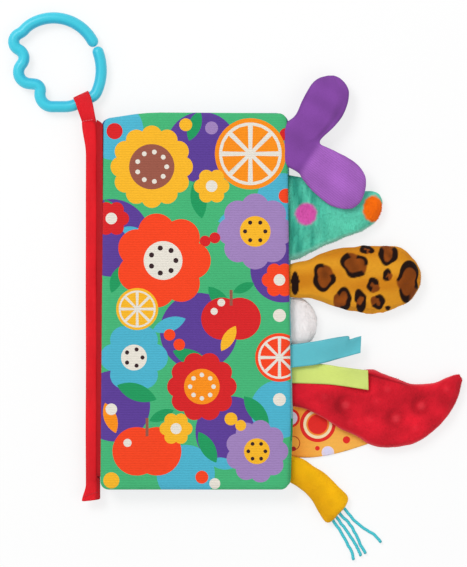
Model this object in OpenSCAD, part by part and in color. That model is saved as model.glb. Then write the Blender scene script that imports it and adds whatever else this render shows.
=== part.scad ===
// Soft cloth book with stuffed tails and ribbons along its fore-edge, a bound
// spine and a link ring. The book lies flat on its back cover: X runs to the
// fore-edge, Y to the head of the book and Z up, in millimetres. The origin is
// the centre of the back cover's rest face.

/* [Covers] */
// Width of a cover at its foot
cover_w = 117.6; // [90:0.2:150]
// Height of a cover at mid width
cover_h = 231.6; // [180:0.2:280]
// How much further in the spine-side corner at the head stands
taper_spine = 1.9; // [0:0.1:4]
// How much further in the fore-edge corner at the head stands
taper_fore = 3.4; // [0:0.1:6]
// How much higher the fore-edge corner at the head stands
head_rise = 2.7; // [0:0.1:6]
// Radius of the cover's corners
corner_r = 5; // [3:0.5:12]
// Thickness of a padded cover
cover_t = 3.6; // [2.5:0.1:6]
// How far the pillow edge of a cover or leaf steps in at its faces
edge_round = 1.4; // [0.6:0.1:2]
// Turn of the back cover about the spine's foot, which lets its corner show
back_skew = 0.4; // [0:0.1:1]

/* [Pages] */
// Number of padded leaves between the covers
leaf_count = 2; // [1:1:4]
// Thickness of a padded leaf
leaf_t = 3.6; // [2.5:0.1:6]
// How deep two leaves press into each other
leaf_nip = 0.2; // [0.1:0.05:0.6]
// How far the leaves stand out past the front cover at the fore-edge
leaf_proud = 1.4; // [0:0.1:3]
// How much shorter a leaf is than the cover, at head and foot together
leaf_short = 1.6; // [0:0.1:6]
// Free space between pieces that only lie on each other
lay_gap = 0.3; // [0.2:0.05:0.6]
// Thickness of the seam allowance that is sewn into the spine tape
seam_t = 1.4; // [0.8:0.1:2]

/* [Spine tape] */
// Visible width of the folded spine tape
tape_w = 9; // [7:0.1:14]
// Height of the folded spine tape
tape_h = 4; // [3:0.1:5]
// Thickness of one layer of tape
tape_t = 0.9; // [0.6:0.1:1.1]
// Space between the tape and the covers
tape_gap = 0.4; // [0.3:0.1:1]
// Distance of the bound end at the head below the middle of the cover's head edge
tape_head_drop = 3; // [1:0.5:6]
// How far the tape's end hangs past the foot of the cover
tape_foot_len = 8; // [4:0.5:16]
// Extra width of the tape's end at the foot
tape_foot_flare = 2.6; // [0:0.1:5]
// Width of the tape where it loops round the ring
loop_w = 10.4; // [8:0.1:14]
// Lean of the loop away from the spine
loop_lean = 25; // [0:1:40]
// Distance from the spine's bound end to the ring's wire
loop_len = 14; // [10:0.5:20]
// Running gap between the loop and the ring's wire
loop_gap = 0.1; // [0.05:0.05:0.3]

/* [Link ring] */
// Diameter of the ring's wire
wire_d = 7.1; // [5:0.1:8]
// Inside radius of the ring's large bow
bow_r = 24; // [18:0.5:32]
// Inside radius of the ring's side by the gap
side_r = 29.5; // [24:0.5:36]
// Inside radius of the lowest lobe
lobe_low_r = 4.2; // [3:0.1:6]
// Inside radius of the middle lobe
lobe_mid_r = 3.6; // [2.5:0.1:5]
// Inside radius of the top lobe
lobe_top_r = 1.9; // [1.5:0.1:3]
// Inside radius of the lower notch between two lobes
notch_low_r = 0.3; // [0.2:0.1:1]
// Inside radius of the upper notch between two lobes
notch_top_r = 2.3; // [1.5:0.1:3]

/* [Tails and ribbons] */
// Full thickness of the purple fluke
fluke_t = 6; // [4:0.2:6.4]
// Full thickness of the green tail
green_t = 6.8; // [4:0.2:7]
// Full thickness of the leopard tail
leopard_t = 7; // [4:0.2:7.4]
// Full thickness of the round bunny tail
bunny_t = 4.6; // [3:0.2:5]
// Full thickness of the red tail
red_t = 9; // [6:0.2:9.4]
// Full thickness of the yellow tail
yellow_t = 4.4; // [3:0.2:5]
// Thickness of a folded ribbon
ribbon_t = 1.2; // [0.8:0.1:1.6]
// Thickness of the printed fin
fin_t = 1.2; // [0.8:0.1:1.6]
// Diameter of a tassel string
string_d = 2; // [1:0.1:2.4]
// Size of the spots on the leopard tail
spot_r = 3.6; // [2.4:0.1:4.4]

/* [Print] */
// Thickness that each field of colour stands on the cloth
print_t = 0.25; // [0.15:0.05:0.4]
// Plain border between the print and the cover's edge
print_rim = 1.6; // [1.5:0.1:4]

/* [Hidden] */
PRINT_NAMES = ["green", "purple", "sky", "leaf", "lilac", "crimson", "scarlet", "orange", "yellow",
    "brown", "cream", "dark"];
PRINT_COLOURS = ["#42B576", "#5A3A96", "#4AB3CE", "#169A5C", "#A082BC", "#D81A1E", "#F84214",
    "#FB900A", "#F9B821", "#9A5645", "#E8E2D6", "#32191F"];
GREEN_C = 0;
PURPLE_C = 1;
SKY_C = 2;
LEAF_C = 3;
LILAC_C = 4;
CRIMSON_C = 5;
SCARLET_C = 6;
ORANGE_C = 7;
YELLOW_C = 8;
BROWN_C = 9;
CREAM_C = 10;
DARK_C = 11;
$fn = 48;

// Levels of the stack, from the floor up
pages_z = cover_t + lay_gap;
pages_h = leaf_count * leaf_t - (leaf_count - 1) * leaf_nip;
front_z = pages_z + pages_h + lay_gap;
book_h = front_z + cover_t;
mid_z = book_h / 2;
front_mid_z = front_z + cover_t / 2;

// Plan of the covers: x of both edges at the foot, y of the four corners
spine_x = -cover_w / 2;
fore_x = cover_w / 2;
foot_y = -cover_h / 2;
head_spine_y = cover_h / 2 - head_rise / 2;
head_fore_y = cover_h / 2 + head_rise / 2;

// The tape and the axis on which both covers turn
tape_right = spine_x - tape_gap;
tape_left = tape_right - tape_w;
hinge_x = (tape_left + tape_right) / 2;
tape_head_y = cover_h / 2 - tape_head_drop;
band_foot_y = foot_y + corner_r;
// How far the flared end and the neck of the loop lie inside the folded band
foot_lap = 6;
head_lap = 3;

// The ring's wire where the loop holds it
wire_r = wire_d / 2;
loop_out_r = wire_r + loop_gap + tape_t;
wire_z = loop_out_r;
wire_x = hinge_x - loop_len * sin(loop_lean);
wire_y = tape_head_y + loop_len * cos(loop_lean);

// Where the fore-edge of the leaves and of the front cover lies at a height y
function fore_at(y) = fore_x - taper_fore * (y - foot_y) / (head_fore_y - foot_y);
function leaf_fore_at(y) = fore_at(y) + leaf_proud + lay_gap;
function root_pt(y) = [leaf_fore_at(y), y];
function cover_root_pt(y) = [fore_at(y) + lay_gap, y];

// A smooth curve through the points p, from u = 0 to u = 1
function spline_at(p, s) =
    let (i = min(floor(s), len(p) - 2), t = s - i, a = p[max(i - 1, 0)], b = p[i], c = p[i + 1],
        d = p[min(i + 2, len(p) - 1)])
    0.5 * (2 * b + (c - a) * t + (2 * a - 5 * b + 4 * c - d) * t * t
        + (3 * b - a - 3 * c + d) * t * t * t);
function along(p, u) = spline_at(p, u * (len(p) - 1));

// A soft piece is [far edge, near edge, heights of its middle, half thicknesses, is it flat]
STATIONS = 28;
FLAT_STATIONS = 12;
SIDES = 16;
// Sections, as [share of the half width, share of the half thickness]
PUFF = [for (j = [0 : SIDES - 1]) let (a = 360 * j / SIDES)
    [cos(a), sign(sin(a)) * pow(abs(sin(a)), 1.15)]];
STRIP = [[1, -0.5], [1, 0.5], [0.98, 1], [-0.98, 1], [-1, 0.5], [-1, -0.5], [-0.98, -1], [0.98, -1]];
function top_at(flat, v) = flat ? 1 : pow(max(0, 1 - v * v), 0.575);
function soft_pt(s, u, v, w, lift = 0) =
    let (a = along(s[0], u), b = along(s[1], u), m = (a + b) / 2 + (b - a) / 2 * v)
    [m[0], m[1], along(s[2], u) + w * along(s[3], u) + lift];
function outward(faces) = [for (f = faces) [for (i = [len(f) - 1 : -1 : 0]) f[i]]];

// A closed skin through rings of points, each ring with n points
module skin(rings, n) {
    last = len(rings) - 1;
    points = [for (r = rings) each r];
    sides = [for (k = [0 : last - 1]) for (j = [0 : n - 1])
        let (i = (j + 1) % n) [k * n + j, (k + 1) * n + j, (k + 1) * n + i, k * n + i]];
    caps = [[for (j = [0 : n - 1]) j], [for (j = [n - 1 : -1 : 0]) last * n + j]];
    polyhedron(points, outward(concat(sides, caps)), convexity = 6);
}

module soft(s) {
    section = s[4] ? STRIP : PUFF;
    stations = s[4] ? FLAT_STATIONS : STATIONS;
    skin([for (k = [0 : stations]) [for (q = section) soft_pt(s, k / stations, q[0], q[1])]],
        len(section));
}

// A round patch on the upper face of a soft piece, with a hole of the share "hole"
PATCH_SIDES = 10;
PATCH_LIFT = 0.1;
module patch(s, u, v, ru, rv, hole = 0) {
    shares = [max(hole, 0.08), (max(hole, 0.08) + 1) / 2, 1];
    function at(share, j, lift) =
        let (a = 360 * j / PATCH_SIDES, pu = u + ru * share * cos(a), pv = v + rv * share * sin(a))
        soft_pt(s, pu, pv, top_at(s[4], pv), lift);
    n = PATCH_SIDES;
    upper = [for (f = shares) [for (j = [0 : n - 1]) at(f, j, PATCH_LIFT + print_t)]];
    lower = [for (f = shares) [for (j = [0 : n - 1]) at(f, j, PATCH_LIFT)]];
    if (hole > 0) {
        loop = [upper[0], upper[1], upper[2], lower[2], lower[1], lower[0], upper[0]];
        points = [for (k = [0 : 5]) each loop[k]];
        polyhedron(points, outward([for (k = [0 : 5]) for (j = [0 : n - 1])
            let (i = (j + 1) % n, m = (k + 1) % 6) [k * n + i, m * n + i, m * n + j, k * n + j]]),
            convexity = 4);
    } else {
        rings = [upper[0], upper[1], upper[2], lower[2], lower[1], lower[0]];
        points = [for (r = rings) each r];
        sides = [for (k = [0 : 4]) for (j = [0 : n - 1])
            let (i = (j + 1) % n) [k * n + i, (k + 1) * n + i, (k + 1) * n + j, k * n + j]];
        caps = [[for (j = [n - 1 : -1 : 0]) j], [for (j = [0 : n - 1]) 5 * n + j]];
        polyhedron(points, outward(concat(sides, caps)), convexity = 4);
    }
}

// Outline of a cover, stepped in by inset
module cover_outline(inset = 0) {
    r = corner_r - inset;
    hull() {
        translate([spine_x + corner_r, foot_y + corner_r]) circle(r);
        translate([fore_x - corner_r, foot_y + corner_r]) circle(r);
        translate([spine_x + taper_spine + corner_r, head_spine_y - corner_r]) circle(r);
        translate([fore_x - taper_fore - corner_r, head_fore_y - corner_r]) circle(r);
    }
}

// A padded sheet with pillow edges, of thickness t
module padded(t) {
    hull() {
        linear_extrude(t) cover_outline(edge_round);
        translate([0, 0, t * 0.12]) linear_extrude(t * 0.76) cover_outline(edge_round * 0.4);
        translate([0, 0, t * 0.36]) linear_extrude(t * 0.28) cover_outline();
    }
}

module inner_pages() {
    color("#7FC4CC") {
        for (i = [0 : leaf_count - 1])
            translate([leaf_proud, 0, pages_z + i * (leaf_t - leaf_nip)])
                scale([1, (cover_h - leaf_short) / cover_h, 1]) padded(leaf_t);
        // The seam allowance, inside the folded tape
        seam_left = tape_left + tape_t + lay_gap;
        seam_foot = band_foot_y + foot_lap + lay_gap;
        seam_head = tape_head_y - head_lap - lay_gap;
        translate([seam_left, seam_foot, mid_z - seam_t / 2])
            cube([spine_x + 2 * corner_r - seam_left, seam_head - seam_foot, seam_t]);
    }
}

module front_cover() {
    color("#42B576") translate([0, 0, front_z]) padded(cover_t);
}

module back_cover() {
    color("#2C4E9A") translate([spine_x, foot_y, 0]) rotate([0, 0, back_skew])
        translate([-spine_x, -foot_y, 0]) padded(cover_t);
}

// Section of the folded tape, open towards the leaves, with a round fold on the left
module tape_section() {
    fold_r = tape_h / 2;
    difference() {
        union() {
            translate([tape_left + fold_r, mid_z]) circle(fold_r);
            translate([tape_left + fold_r, mid_z - fold_r]) square([tape_w - fold_r, tape_h]);
        }
        translate([tape_left + tape_t, mid_z - seam_t / 2 - 0.1]) square([tape_w, seam_t + 0.2]);
    }
}

// Section of the loop: a round eye for the wire with a doubled strap below it
module loop_section() {
    strap_end = -loop_out_r - 2.6;
    lean = 50;
    difference() {
        union() {
            circle(loop_out_r);
            polygon([[-loop_out_r * sin(90 - lean), loop_out_r * cos(90 - lean)], [strap_end, tape_t],
                [strap_end, -tape_t], [-loop_out_r * sin(90 - lean), -loop_out_r * cos(90 - lean)]]);
        }
        circle(wire_r + loop_gap);
    }
}

module spine_tape() {
    color("#DC141F") {
        translate([0, tape_head_y, 0]) rotate([90, 0, 0])
            linear_extrude(tape_head_y - band_foot_y) tape_section();
        // The flared end of the tape past the foot
        foot_end_y = foot_y - tape_foot_len;
        translate([0, 0, mid_z - tape_t]) linear_extrude(2 * tape_t)
            polygon([[tape_left + 1, band_foot_y + foot_lap], [tape_left, band_foot_y - 2],
                [tape_left - tape_foot_flare, foot_end_y], [tape_right, foot_end_y + 1.4],
                [tape_right, band_foot_y + foot_lap]]);
        // The neck that carries the tape up to the loop
        hull() {
            translate([tape_left + 1, tape_head_y - head_lap, mid_z - tape_t])
                cube([tape_w - 1, head_lap - 1, 2 * tape_t]);
            translate([wire_x, wire_y, wire_z]) rotate([0, 0, loop_lean])
                translate([-loop_w / 2, -loop_out_r - 2.4, -tape_t]) cube([loop_w, 0.6, 2 * tape_t]);
        }
        translate([wire_x, wire_y, wire_z]) rotate([0, 0, loop_lean]) rotate([90, 0, 90])
            translate([0, 0, -loop_w / 2]) linear_extrude(loop_w) loop_section();
    }
}

// A run of wire as places [x, y, heading]. Each step is [radius of turn, angle], with a
// positive angle to the left, or [length, 0] where the wire is straight
WIRE_STEP = 8;
WIRE_SIDES = 20;
function step_to(s, r, a, f) =
    a == 0 ? [s[0] + r * f * cos(s[2]), s[1] + r * f * sin(s[2]), s[2]]
    : let (q = sign(a) * r, h = s[2] + a * f)
        [s[0] + q * (sin(h) - sin(s[2])), s[1] - q * (cos(h) - cos(s[2])), h];
function run(steps, s, i = 0) =
    i == len(steps) ? []
    : let (r = steps[i][0], a = steps[i][1], n = max(1, ceil(abs(a) / WIRE_STEP)),
        places = [for (k = [1 : n]) step_to(s, r, a, k / n)])
        concat(places, run(steps, places[n - 1], i + 1));
function wire_section(s, r) =
    [for (j = [0 : WIRE_SIDES - 1]) let (a = 360 * j / WIRE_SIDES)
        [s[0] - r * cos(a) * sin(s[2]), s[1] + r * cos(a) * cos(s[2]), r * sin(a)]];
function dome(s, forward) =
    [for (b = [20 : 20 : 80]) let (f = forward ? wire_r * sin(b) : -wire_r * sin(100 - b),
        r = wire_r * cos(forward ? b : 100 - b))
        wire_section([s[0] + f * cos(s[2]), s[1] + f * sin(s[2]), s[2]], r)];

module link_ring() {
    half_hold = loop_w / 2 + 0.4;
    lobes = [[half_hold, 0], [15, -25], [8, 0], [wire_r + lobe_low_r, -102],
        [wire_r + notch_low_r, 96], [3.7, 0], [wire_r + lobe_mid_r, -126],
        [wire_r + notch_top_r, 106], [wire_r + lobe_top_r, -107], [40, -18], [wire_r + bow_r, -91]];
    side = [[half_hold, 0], [wire_r + 2.6, 41], [wire_r + side_r, 44]];
    far = run(lobes, [0, 0, 180]);
    back = [for (i = [len(far) - 1 : -1 : 0]) [far[i][0], far[i][1], far[i][2] - 180]];
    places = concat(back, run(side, [0, 0, 0]));
    color("#33C7DE") translate([wire_x, wire_y, wire_z]) rotate([0, 0, loop_lean])
        skin(concat(dome(places[0], false), [for (p = places) wire_section(p, wire_r)],
            dome(places[len(places) - 1], true)), WIRE_SIDES);
}

// The soft pieces along the fore-edge. Far edges are given from root to tip, then the
// near edges, then the heights of the middle and the half thicknesses along the way.
FLUKE = [[[84, 140.5], [90.5, 138.5], [95, 132.5], [95.5, 126], [91, 115], [84, 105.5], [77, 98.5],
        [86, 94], [97, 88.5], [103, 83], [106, 75.5], [105.5, 69], [101.5, 61], [97, 57.5]],
    [[80, 140.5], [74, 138], [66.5, 128], [61.5, 117], cover_root_pt(110.5), cover_root_pt(102),
        cover_root_pt(94), cover_root_pt(86.5), [61.5, 83], [68, 75.5], [78, 65.5], [88, 59],
        [93, 57.5]],
    [8, 8.5, 10, 12.4, front_mid_z, front_mid_z, 12, 11, 10.6],
    [0.4, 0.86, 0.98, 0.7, 0.5, 0.5, 0.9, 0.98, 0.4] * fluke_t / 2, false];
GREEN = [[root_pt(79.5), [73, 76.5], [86, 73], [99, 70.5], [108, 70], [113, 68], [115.5, 63]],
    [root_pt(25.5), [73.5, 33], [90.5, 40], [100, 43.5], [107, 47], [112.5, 52], [115.5, 58]],
    [7.4, 5.6, 4.3, 4, 4, 4], [0.5, 0.92, 1, 0.96, 0.8, 0.3] * green_t / 2, false];
LEOPARD = [[root_pt(21.8), [76, 28], [90.5, 33], [101.5, 35.5], [113, 36], [124, 34], [133, 28.5],
        [138.5, 22], [140.5, 16]],
    [root_pt(3.9), [70, 2], [81.5, -1.5], [92.5, -5.5], [106, -7], [119.5, -5.5], [128.5, -2.5],
        [135, 4.5], [139.5, 11]],
    [9.2, 9, 8.4, 7.2, 5.8, 4.6], [0.34, 0.8, 1, 1, 0.9, 0.34] * leopard_t / 2, false];
BUNNY = [[[64, 3.2], [69, 0.6], [73.5, -5], [75.5, -13], [73.5, -20], [69, -24.5], [64, -26.5]],
    [root_pt(3.2), root_pt(-2), root_pt(-8), root_pt(-14), root_pt(-19), root_pt(-24),
        root_pt(-26.5)],
    [5, 4.8, 4.6, 4.6, 4.8], [0.4, 0.86, 1, 0.86, 0.4] * bunny_t / 2, false];
TEAL = [[root_pt(-26.5), [75, -24.5], [89, -22.5], [102, -20.5]],
    [root_pt(-40.5), [74, -37.5], [88, -34], [101.5, -31]],
    [9.6, 9.2, 8.6, 7.4], [1, 1, 1, 1] * ribbon_t / 2, true];
LIME = [[root_pt(-37), [78, -38.2], [92, -39.8], [106.5, -41.5]],
    [root_pt(-49), [76, -50], [91, -51.2], [106.5, -53.5]],
    [6.4, 7.6, 9.6, 10.9], [1, 1, 1, 1] * ribbon_t / 2, true];
RED = [[root_pt(-50.5), [74, -50.5], [88, -49], [102, -46], [116.5, -44.5], [124, -47.5],
        [136, -50], [147.5, -50.5], [155, -48.5], [161.5, -45.5]],
    [root_pt(-63), [73.5, -70], [85, -77], [97, -84], [110, -89], [124, -90], [138, -85.5],
        [149, -77.5], [158, -67], [164.5, -53]],
    [7, 6.4, 6, 6.2, 6.4, 6.4, 6.2, 5.6], [0.3, 0.66, 0.86, 1, 1, 0.9, 0.66, 0.3] * red_t / 2,
    false];
FIN = [[root_pt(-67.5), [76, -71], [92, -77.5], [109.5, -86.5]],
    [root_pt(-96.5), [72, -96.4], [89, -94.2], [107, -88.5]],
    [5, 1.6, 0.8, 0.8], [1, 1, 1, 1] * fin_t / 2, true];
YELLOW = [[root_pt(-95.8), [67.5, -97], [74, -101.5], [83, -109.5], [90.5, -116.5], [94.3, -121.5],
        [93.5, -125.5]],
    [root_pt(-111.5), [66, -117], [71.5, -122], [75.5, -127.5], [79.5, -134], [82.5, -136.6],
        [86, -135.5]],
    [6, 4.8, 4, 3.2, 2.6], [0.6, 1, 1, 0.9, 0.5] * yellow_t / 2, false];

module fluke_tail() color("#8B55A8") soft(FLUKE);
module green_tail() color("#50BD9D") soft(GREEN);
module green_tail_pink_spot() color("#D14EA5") patch(GREEN, 0.2, -0.12, 0.12, 0.34);
module green_tail_orange_spot() color("#F5690A") patch(GREEN, 0.82, 0, 0.11, 0.62);
module leopard_tail() color("#B86E11") soft(LEOPARD);
module bunny_tail() color("#F2EFEC") soft(BUNNY);
module teal_ribbon() color("#5ABBC8") soft(TEAL);
module lime_ribbon() color("#D7D876") soft(LIME);
module red_tail() color("#DC262D") soft(RED);
module printed_fin() color("#F7B043") soft(FIN);
module yellow_tail() color("#F0B012") soft(YELLOW);

// Spots of the leopard tail in staggered rows; the tail is about 82 mm long and 40 mm wide
LEOPARD_LEN = 82;
LEOPARD_HALF = 20;
module leopard_spots(share, hole) {
    rows = 7;
    for (i = [0 : rows - 1]) {
        lanes = i % 2 == 0 ? [-0.62, 0, 0.62] : [-0.34, 0.34];
        for (v = lanes)
            patch(LEOPARD, 0.12 + 0.76 * i / (rows - 1), v, share * spot_r / LEOPARD_LEN,
                share * spot_r / LEOPARD_HALF, hole);
    }
}
module leopard_tail_rings() color("#2A140C") leopard_spots(1, 0.62);
module leopard_tail_centres() color("#5C2202") leopard_spots(0.52, 0);

// Rings and dots printed on the flat part of the fin
FIN_SPOTS = [[0.5, -0.35, 0.12, 0.34], [0.5, 0.52, 0.1, 0.3], [0.74, 0.2, 0.08, 0.4]];
module printed_fin_red_print() {
    color("#DE2A1E") for (p = FIN_SPOTS) patch(FIN, p[0], p[1], p[2], p[3], 0.6);
}
module printed_fin_cream_print() {
    color("#F6E6C4") for (p = FIN_SPOTS) patch(FIN, p[0], p[1], p[2] * 0.5, p[3] * 0.5);
}

// Tassel strings: each lies on the floor from the yellow tail's tip
STRING_Z = string_d / 2;
STRINGS = [
    [[91, -127, 2.4], [94, -130, 1.2], [99, -136, STRING_Z], [106, -141.5, STRING_Z],
        [111, -144.5, STRING_Z], [115.5, -149.5, STRING_Z]],
    [[88.5, -129.5, 2.4], [91, -133, 1.2], [95.5, -137.5, STRING_Z], [99.5, -144, STRING_Z],
        [103, -151.5, STRING_Z], [106, -156.5, STRING_Z]],
    [[86.5, -132, 2.4], [89, -135.5, 1.2], [93.5, -141.5, STRING_Z], [98.5, -149, STRING_Z],
        [101, -153.5, STRING_Z], [103, -158, STRING_Z]],
    [[84.5, -134, 2.4], [87, -138, 1.2], [90.5, -143, STRING_Z], [94, -149.5, STRING_Z],
        [97, -155, STRING_Z], [98.5, -160.5, STRING_Z]]];
CORD_SIDES = 8;
CORD_RINGS = 12;
function unit(v) = v / norm(v);
function cord_ring(p, u) =
    let (c = along(p, u), t = unit(along(p, min(1, u + 0.02)) - along(p, max(0, u - 0.02))),
        side = unit(cross([0, 0, 1], t)), up = cross(t, side))
    [for (j = [0 : CORD_SIDES - 1]) let (a = 360 * j / CORD_SIDES)
        c + string_d / 2 * (side * cos(a) + up * sin(a))];
module tassel_string(i) {
    color("#3CB4BE")
        skin([for (k = [0 : CORD_RINGS]) cord_ring(STRINGS[i], k / CORD_RINGS)], CORD_SIDES);
}

// The printed cover: each motif draws its share of the colour c. The motifs are placed for
// a cover of this size, and their places follow the cover's own
PRINT_W = 117.6;
PRINT_H = 231.6;
function on_cover(p) = [p[0] * cover_w / PRINT_W, p[1] * cover_h / PRINT_H];

// Blooms: x, y, petals, ring radius, petal radius, petal colour, heart radius, heart colour,
// seeds, seed radius, seed colour
BLOOMS = [
    [-27, 84, 12, 19, 6.5, YELLOW_C, 14, BROWN_C, 9, 1.5, CREAM_C],
    [37, 44, 8, 15, 8.5, LILAC_C, 9.5, YELLOW_C, 6, 1.3, DARK_C],
    [-20, 26, 7, 18, 11.5, SCARLET_C, 12, CREAM_C, 7, 1.6, DARK_C],
    [-38, -34, 6, 12.5, 8.5, SKY_C, 8, CREAM_C, 5, 1.3, DARK_C],
    [4, -52, 10, 15, 6.5, CRIMSON_C, 11, ORANGE_C, 8, 1.4, CREAM_C],
    [38, -92, 9, 13, 6.5, LILAC_C, 8, YELLOW_C, 6, 1.2, DARK_C],
    [10, 72, 6, 6.5, 4.5, YELLOW_C, 3.6, CREAM_C, 0, 0, CREAM_C],
    [52, 14, 6, 6.5, 4.5, SCARLET_C, 3.6, CREAM_C, 0, 0, CREAM_C],
    [-52, 52, 6, 6.5, 4.5, CRIMSON_C, 3.6, CREAM_C, 0, 0, CREAM_C],
    [-12, -78, 6, 6, 4.2, YELLOW_C, 3.4, CREAM_C, 0, 0, CREAM_C]];
module bloom(b, c) {
    translate(on_cover(b)) {
        if (c == b[5]) {
            circle(b[3]);
            for (i = [1 : b[2]]) rotate(360 * i / b[2]) translate([b[3], 0]) circle(b[4]);
        }
        if (c == b[7]) circle(b[6]);
        if (c == b[10] && b[8] > 0)
            for (i = [1 : b[8]]) rotate(360 * i / b[8]) translate([b[6] * 0.66, 0]) circle(b[9]);
    }
}

// Fruit slices: x, y, radius, rind colour
SLICES = [[34, 92, 22, ORANGE_C], [-36, -4, 13, YELLOW_C], [52, -34, 15, SCARLET_C]];
SLICE_CUTS = 8;
module slice(s, c) {
    translate(on_cover(s)) {
        if (c == s[3]) circle(s[2]);
        if (c == CREAM_C) difference() {
            circle(s[2] * 0.88);
            for (i = [1 : SLICE_CUTS]) rotate(360 * (i + 0.5) / SLICE_CUTS)
                polygon([[s[2] * 0.14, 0], [s[2] * 0.76, s[2] * 0.24], [s[2] * 0.8, 0],
                    [s[2] * 0.76, -s[2] * 0.24]]);
        }
    }
}

// Apples: x, y, size, skin colour
APPLES = [[22, -10, 13, CRIMSON_C], [-30, -92, 15, SCARLET_C]];
module apple(p, c) {
    translate(on_cover(p)) {
        if (c == p[3]) for (s = [-1, 1]) translate([s * p[2] * 0.42, 0]) circle(p[2]);
        if (c == BROWN_C) translate([-0.8, p[2] * 0.62]) square([1.8, p[2] * 0.75]);
        if (c == LEAF_C) translate([p[2] * 0.1, p[2] * 1.25]) rotate(24) leaf_shape(p[2] * 1.1);
        if (c == CREAM_C) translate([-p[2] * 0.8, p[2] * 0.35]) circle(p[2] * 0.17);
    }
}

// A pointed leaf of length l along X, from its stalk
module leaf_shape(l) {
    r = l * 0.72;
    drop = sqrt(r * r - l * l / 4);
    intersection() {
        translate([l / 2, drop]) circle(r);
        translate([l / 2, -drop]) circle(r);
    }
}

// Leaves: x, y, turn, length, colour
LEAVES = [[-4, 100, 70, 20, LEAF_C], [4, 52, 100, 24, LEAF_C], [14, 50, 20, 18, SKY_C],
    [-56, 64, -60, 20, LEAF_C], [8, 10, -50, 22, LEAF_C], [-6, -10, 200, 22, SKY_C],
    [-14, -30, -20, 24, LEAF_C], [16, -30, 60, 18, YELLOW_C], [30, -58, -50, 24, LEAF_C],
    [-24, -60, 160, 26, LEAF_C], [2, -80, -60, 22, LEAF_C], [8, -98, -10, 18, SKY_C],
    [-56, -62, -70, 20, ORANGE_C], [54, 70, -100, 22, SKY_C], [-46, 46, -20, 18, SKY_C],
    [-52, 6, 70, 18, LEAF_C]];

// Small berries: x, y, radius, colour
BERRIES = [[-50, 106, 5, CRIMSON_C], [-6, 110, 4, YELLOW_C], [56, 66, 4.5, SCARLET_C],
    [6, 38, 3.4, CRIMSON_C], [12, 40, 3.4, CRIMSON_C], [52, -8, 4, CREAM_C],
    [-10, -26, 3.6, SCARLET_C], [-16, -20, 3.6, SCARLET_C], [22, -72, 4, YELLOW_C],
    [28, -76, 3.4, YELLOW_C], [-52, -110, 5, YELLOW_C], [4, -108, 4, SCARLET_C],
    [12, -112, 3.4, CREAM_C], [-52, -66, 3.6, CREAM_C], [52, -60, 4, CREAM_C],
    [56, 104, 4, CRIMSON_C], [10, 108, 4, LILAC_C], [16, 0, 2.4, CREAM_C]];

// Patches of ground colour behind the motifs: x, y, radius, colour
GROUNDS = [[4, 96, 22, PURPLE_C], [-52, 40, 24, PURPLE_C], [54, 20, 20, PURPLE_C],
    [2, -18, 24, PURPLE_C], [-50, -64, 22, PURPLE_C], [22, -80, 22, PURPLE_C],
    [-50, 106, 18, SKY_C], [54, 64, 16, SKY_C], [52, -66, 18, SKY_C], [-6, -106, 18, SKY_C]];

module motifs(c) {
    if (c == GREEN_C) cover_outline(print_rim);
    for (g = GROUNDS) if (g[3] == c) translate(on_cover(g)) circle(g[2]);
    for (l = LEAVES) if (l[4] == c) translate(on_cover(l)) rotate(l[2]) leaf_shape(l[3]);
    for (b = BERRIES) if (b[3] == c) translate(on_cover(b)) circle(b[2]);
    for (b = BLOOMS) bloom(b, c);
    for (s = SLICES) slice(s, c);
    for (p = APPLES) apple(p, c);
}

// One colour of the print: its motifs less all that is printed over them
module cover_print(c) {
    color(PRINT_COLOURS[c]) translate([0, 0, book_h]) linear_extrude(print_t) difference() {
        intersection() {
            motifs(c);
            cover_outline(print_rim);
        }
        for (k = [c + 1 : len(PRINT_NAMES) - 1]) motifs(k);
    }
}

inner_pages();
front_cover();
back_cover();
spine_tape();
link_ring();
fluke_tail();
green_tail();
green_tail_pink_spot();
green_tail_orange_spot();
leopard_tail();
leopard_tail_rings();
leopard_tail_centres();
bunny_tail();
teal_ribbon();
lime_ribbon();
red_tail();
printed_fin();
printed_fin_red_print();
printed_fin_cream_print();
yellow_tail();
for (i = [0 : len(STRINGS) - 1])
    tassel_string(i);
for (c = [0 : len(PRINT_NAMES) - 1])
    cover_print(c);
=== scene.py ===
"""Looks of a soft cloth book with stuffed tails, ribbons and a link ring.

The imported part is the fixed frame: +X goes to the fore-edge, +Y to the head and
+Z up, in metres. Tables of outlines and motifs are in millimetres.
"""

import logging
import math
from dataclasses import dataclass, field
from enum import Enum

import bpy
import numpy as np
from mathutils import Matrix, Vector
from mathutils.geometry import delaunay_2d_cdt

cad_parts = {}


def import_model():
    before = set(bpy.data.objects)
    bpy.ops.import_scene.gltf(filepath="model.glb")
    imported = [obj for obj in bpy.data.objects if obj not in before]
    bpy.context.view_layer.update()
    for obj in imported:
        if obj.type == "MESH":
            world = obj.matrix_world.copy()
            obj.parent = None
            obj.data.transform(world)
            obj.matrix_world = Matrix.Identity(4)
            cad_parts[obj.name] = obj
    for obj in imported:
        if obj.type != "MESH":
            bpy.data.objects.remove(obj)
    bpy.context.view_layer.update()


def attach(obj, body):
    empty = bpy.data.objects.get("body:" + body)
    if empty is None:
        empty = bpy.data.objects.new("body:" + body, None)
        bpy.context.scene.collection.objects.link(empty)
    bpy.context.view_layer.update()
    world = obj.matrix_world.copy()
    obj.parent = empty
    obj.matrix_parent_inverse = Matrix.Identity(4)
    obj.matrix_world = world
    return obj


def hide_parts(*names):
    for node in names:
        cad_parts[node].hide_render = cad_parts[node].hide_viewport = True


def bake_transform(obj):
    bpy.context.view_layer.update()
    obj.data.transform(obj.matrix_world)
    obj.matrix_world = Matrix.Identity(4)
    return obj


log = logging.getLogger("cloth_book")

MM = 0.001
BLOCK = "book_block"
WAVE_SCALE = 0.314159  # a wave texture's scale that gives one band for each unit
PLY_PITCH = 0.0009
Array = np.ndarray

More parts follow.
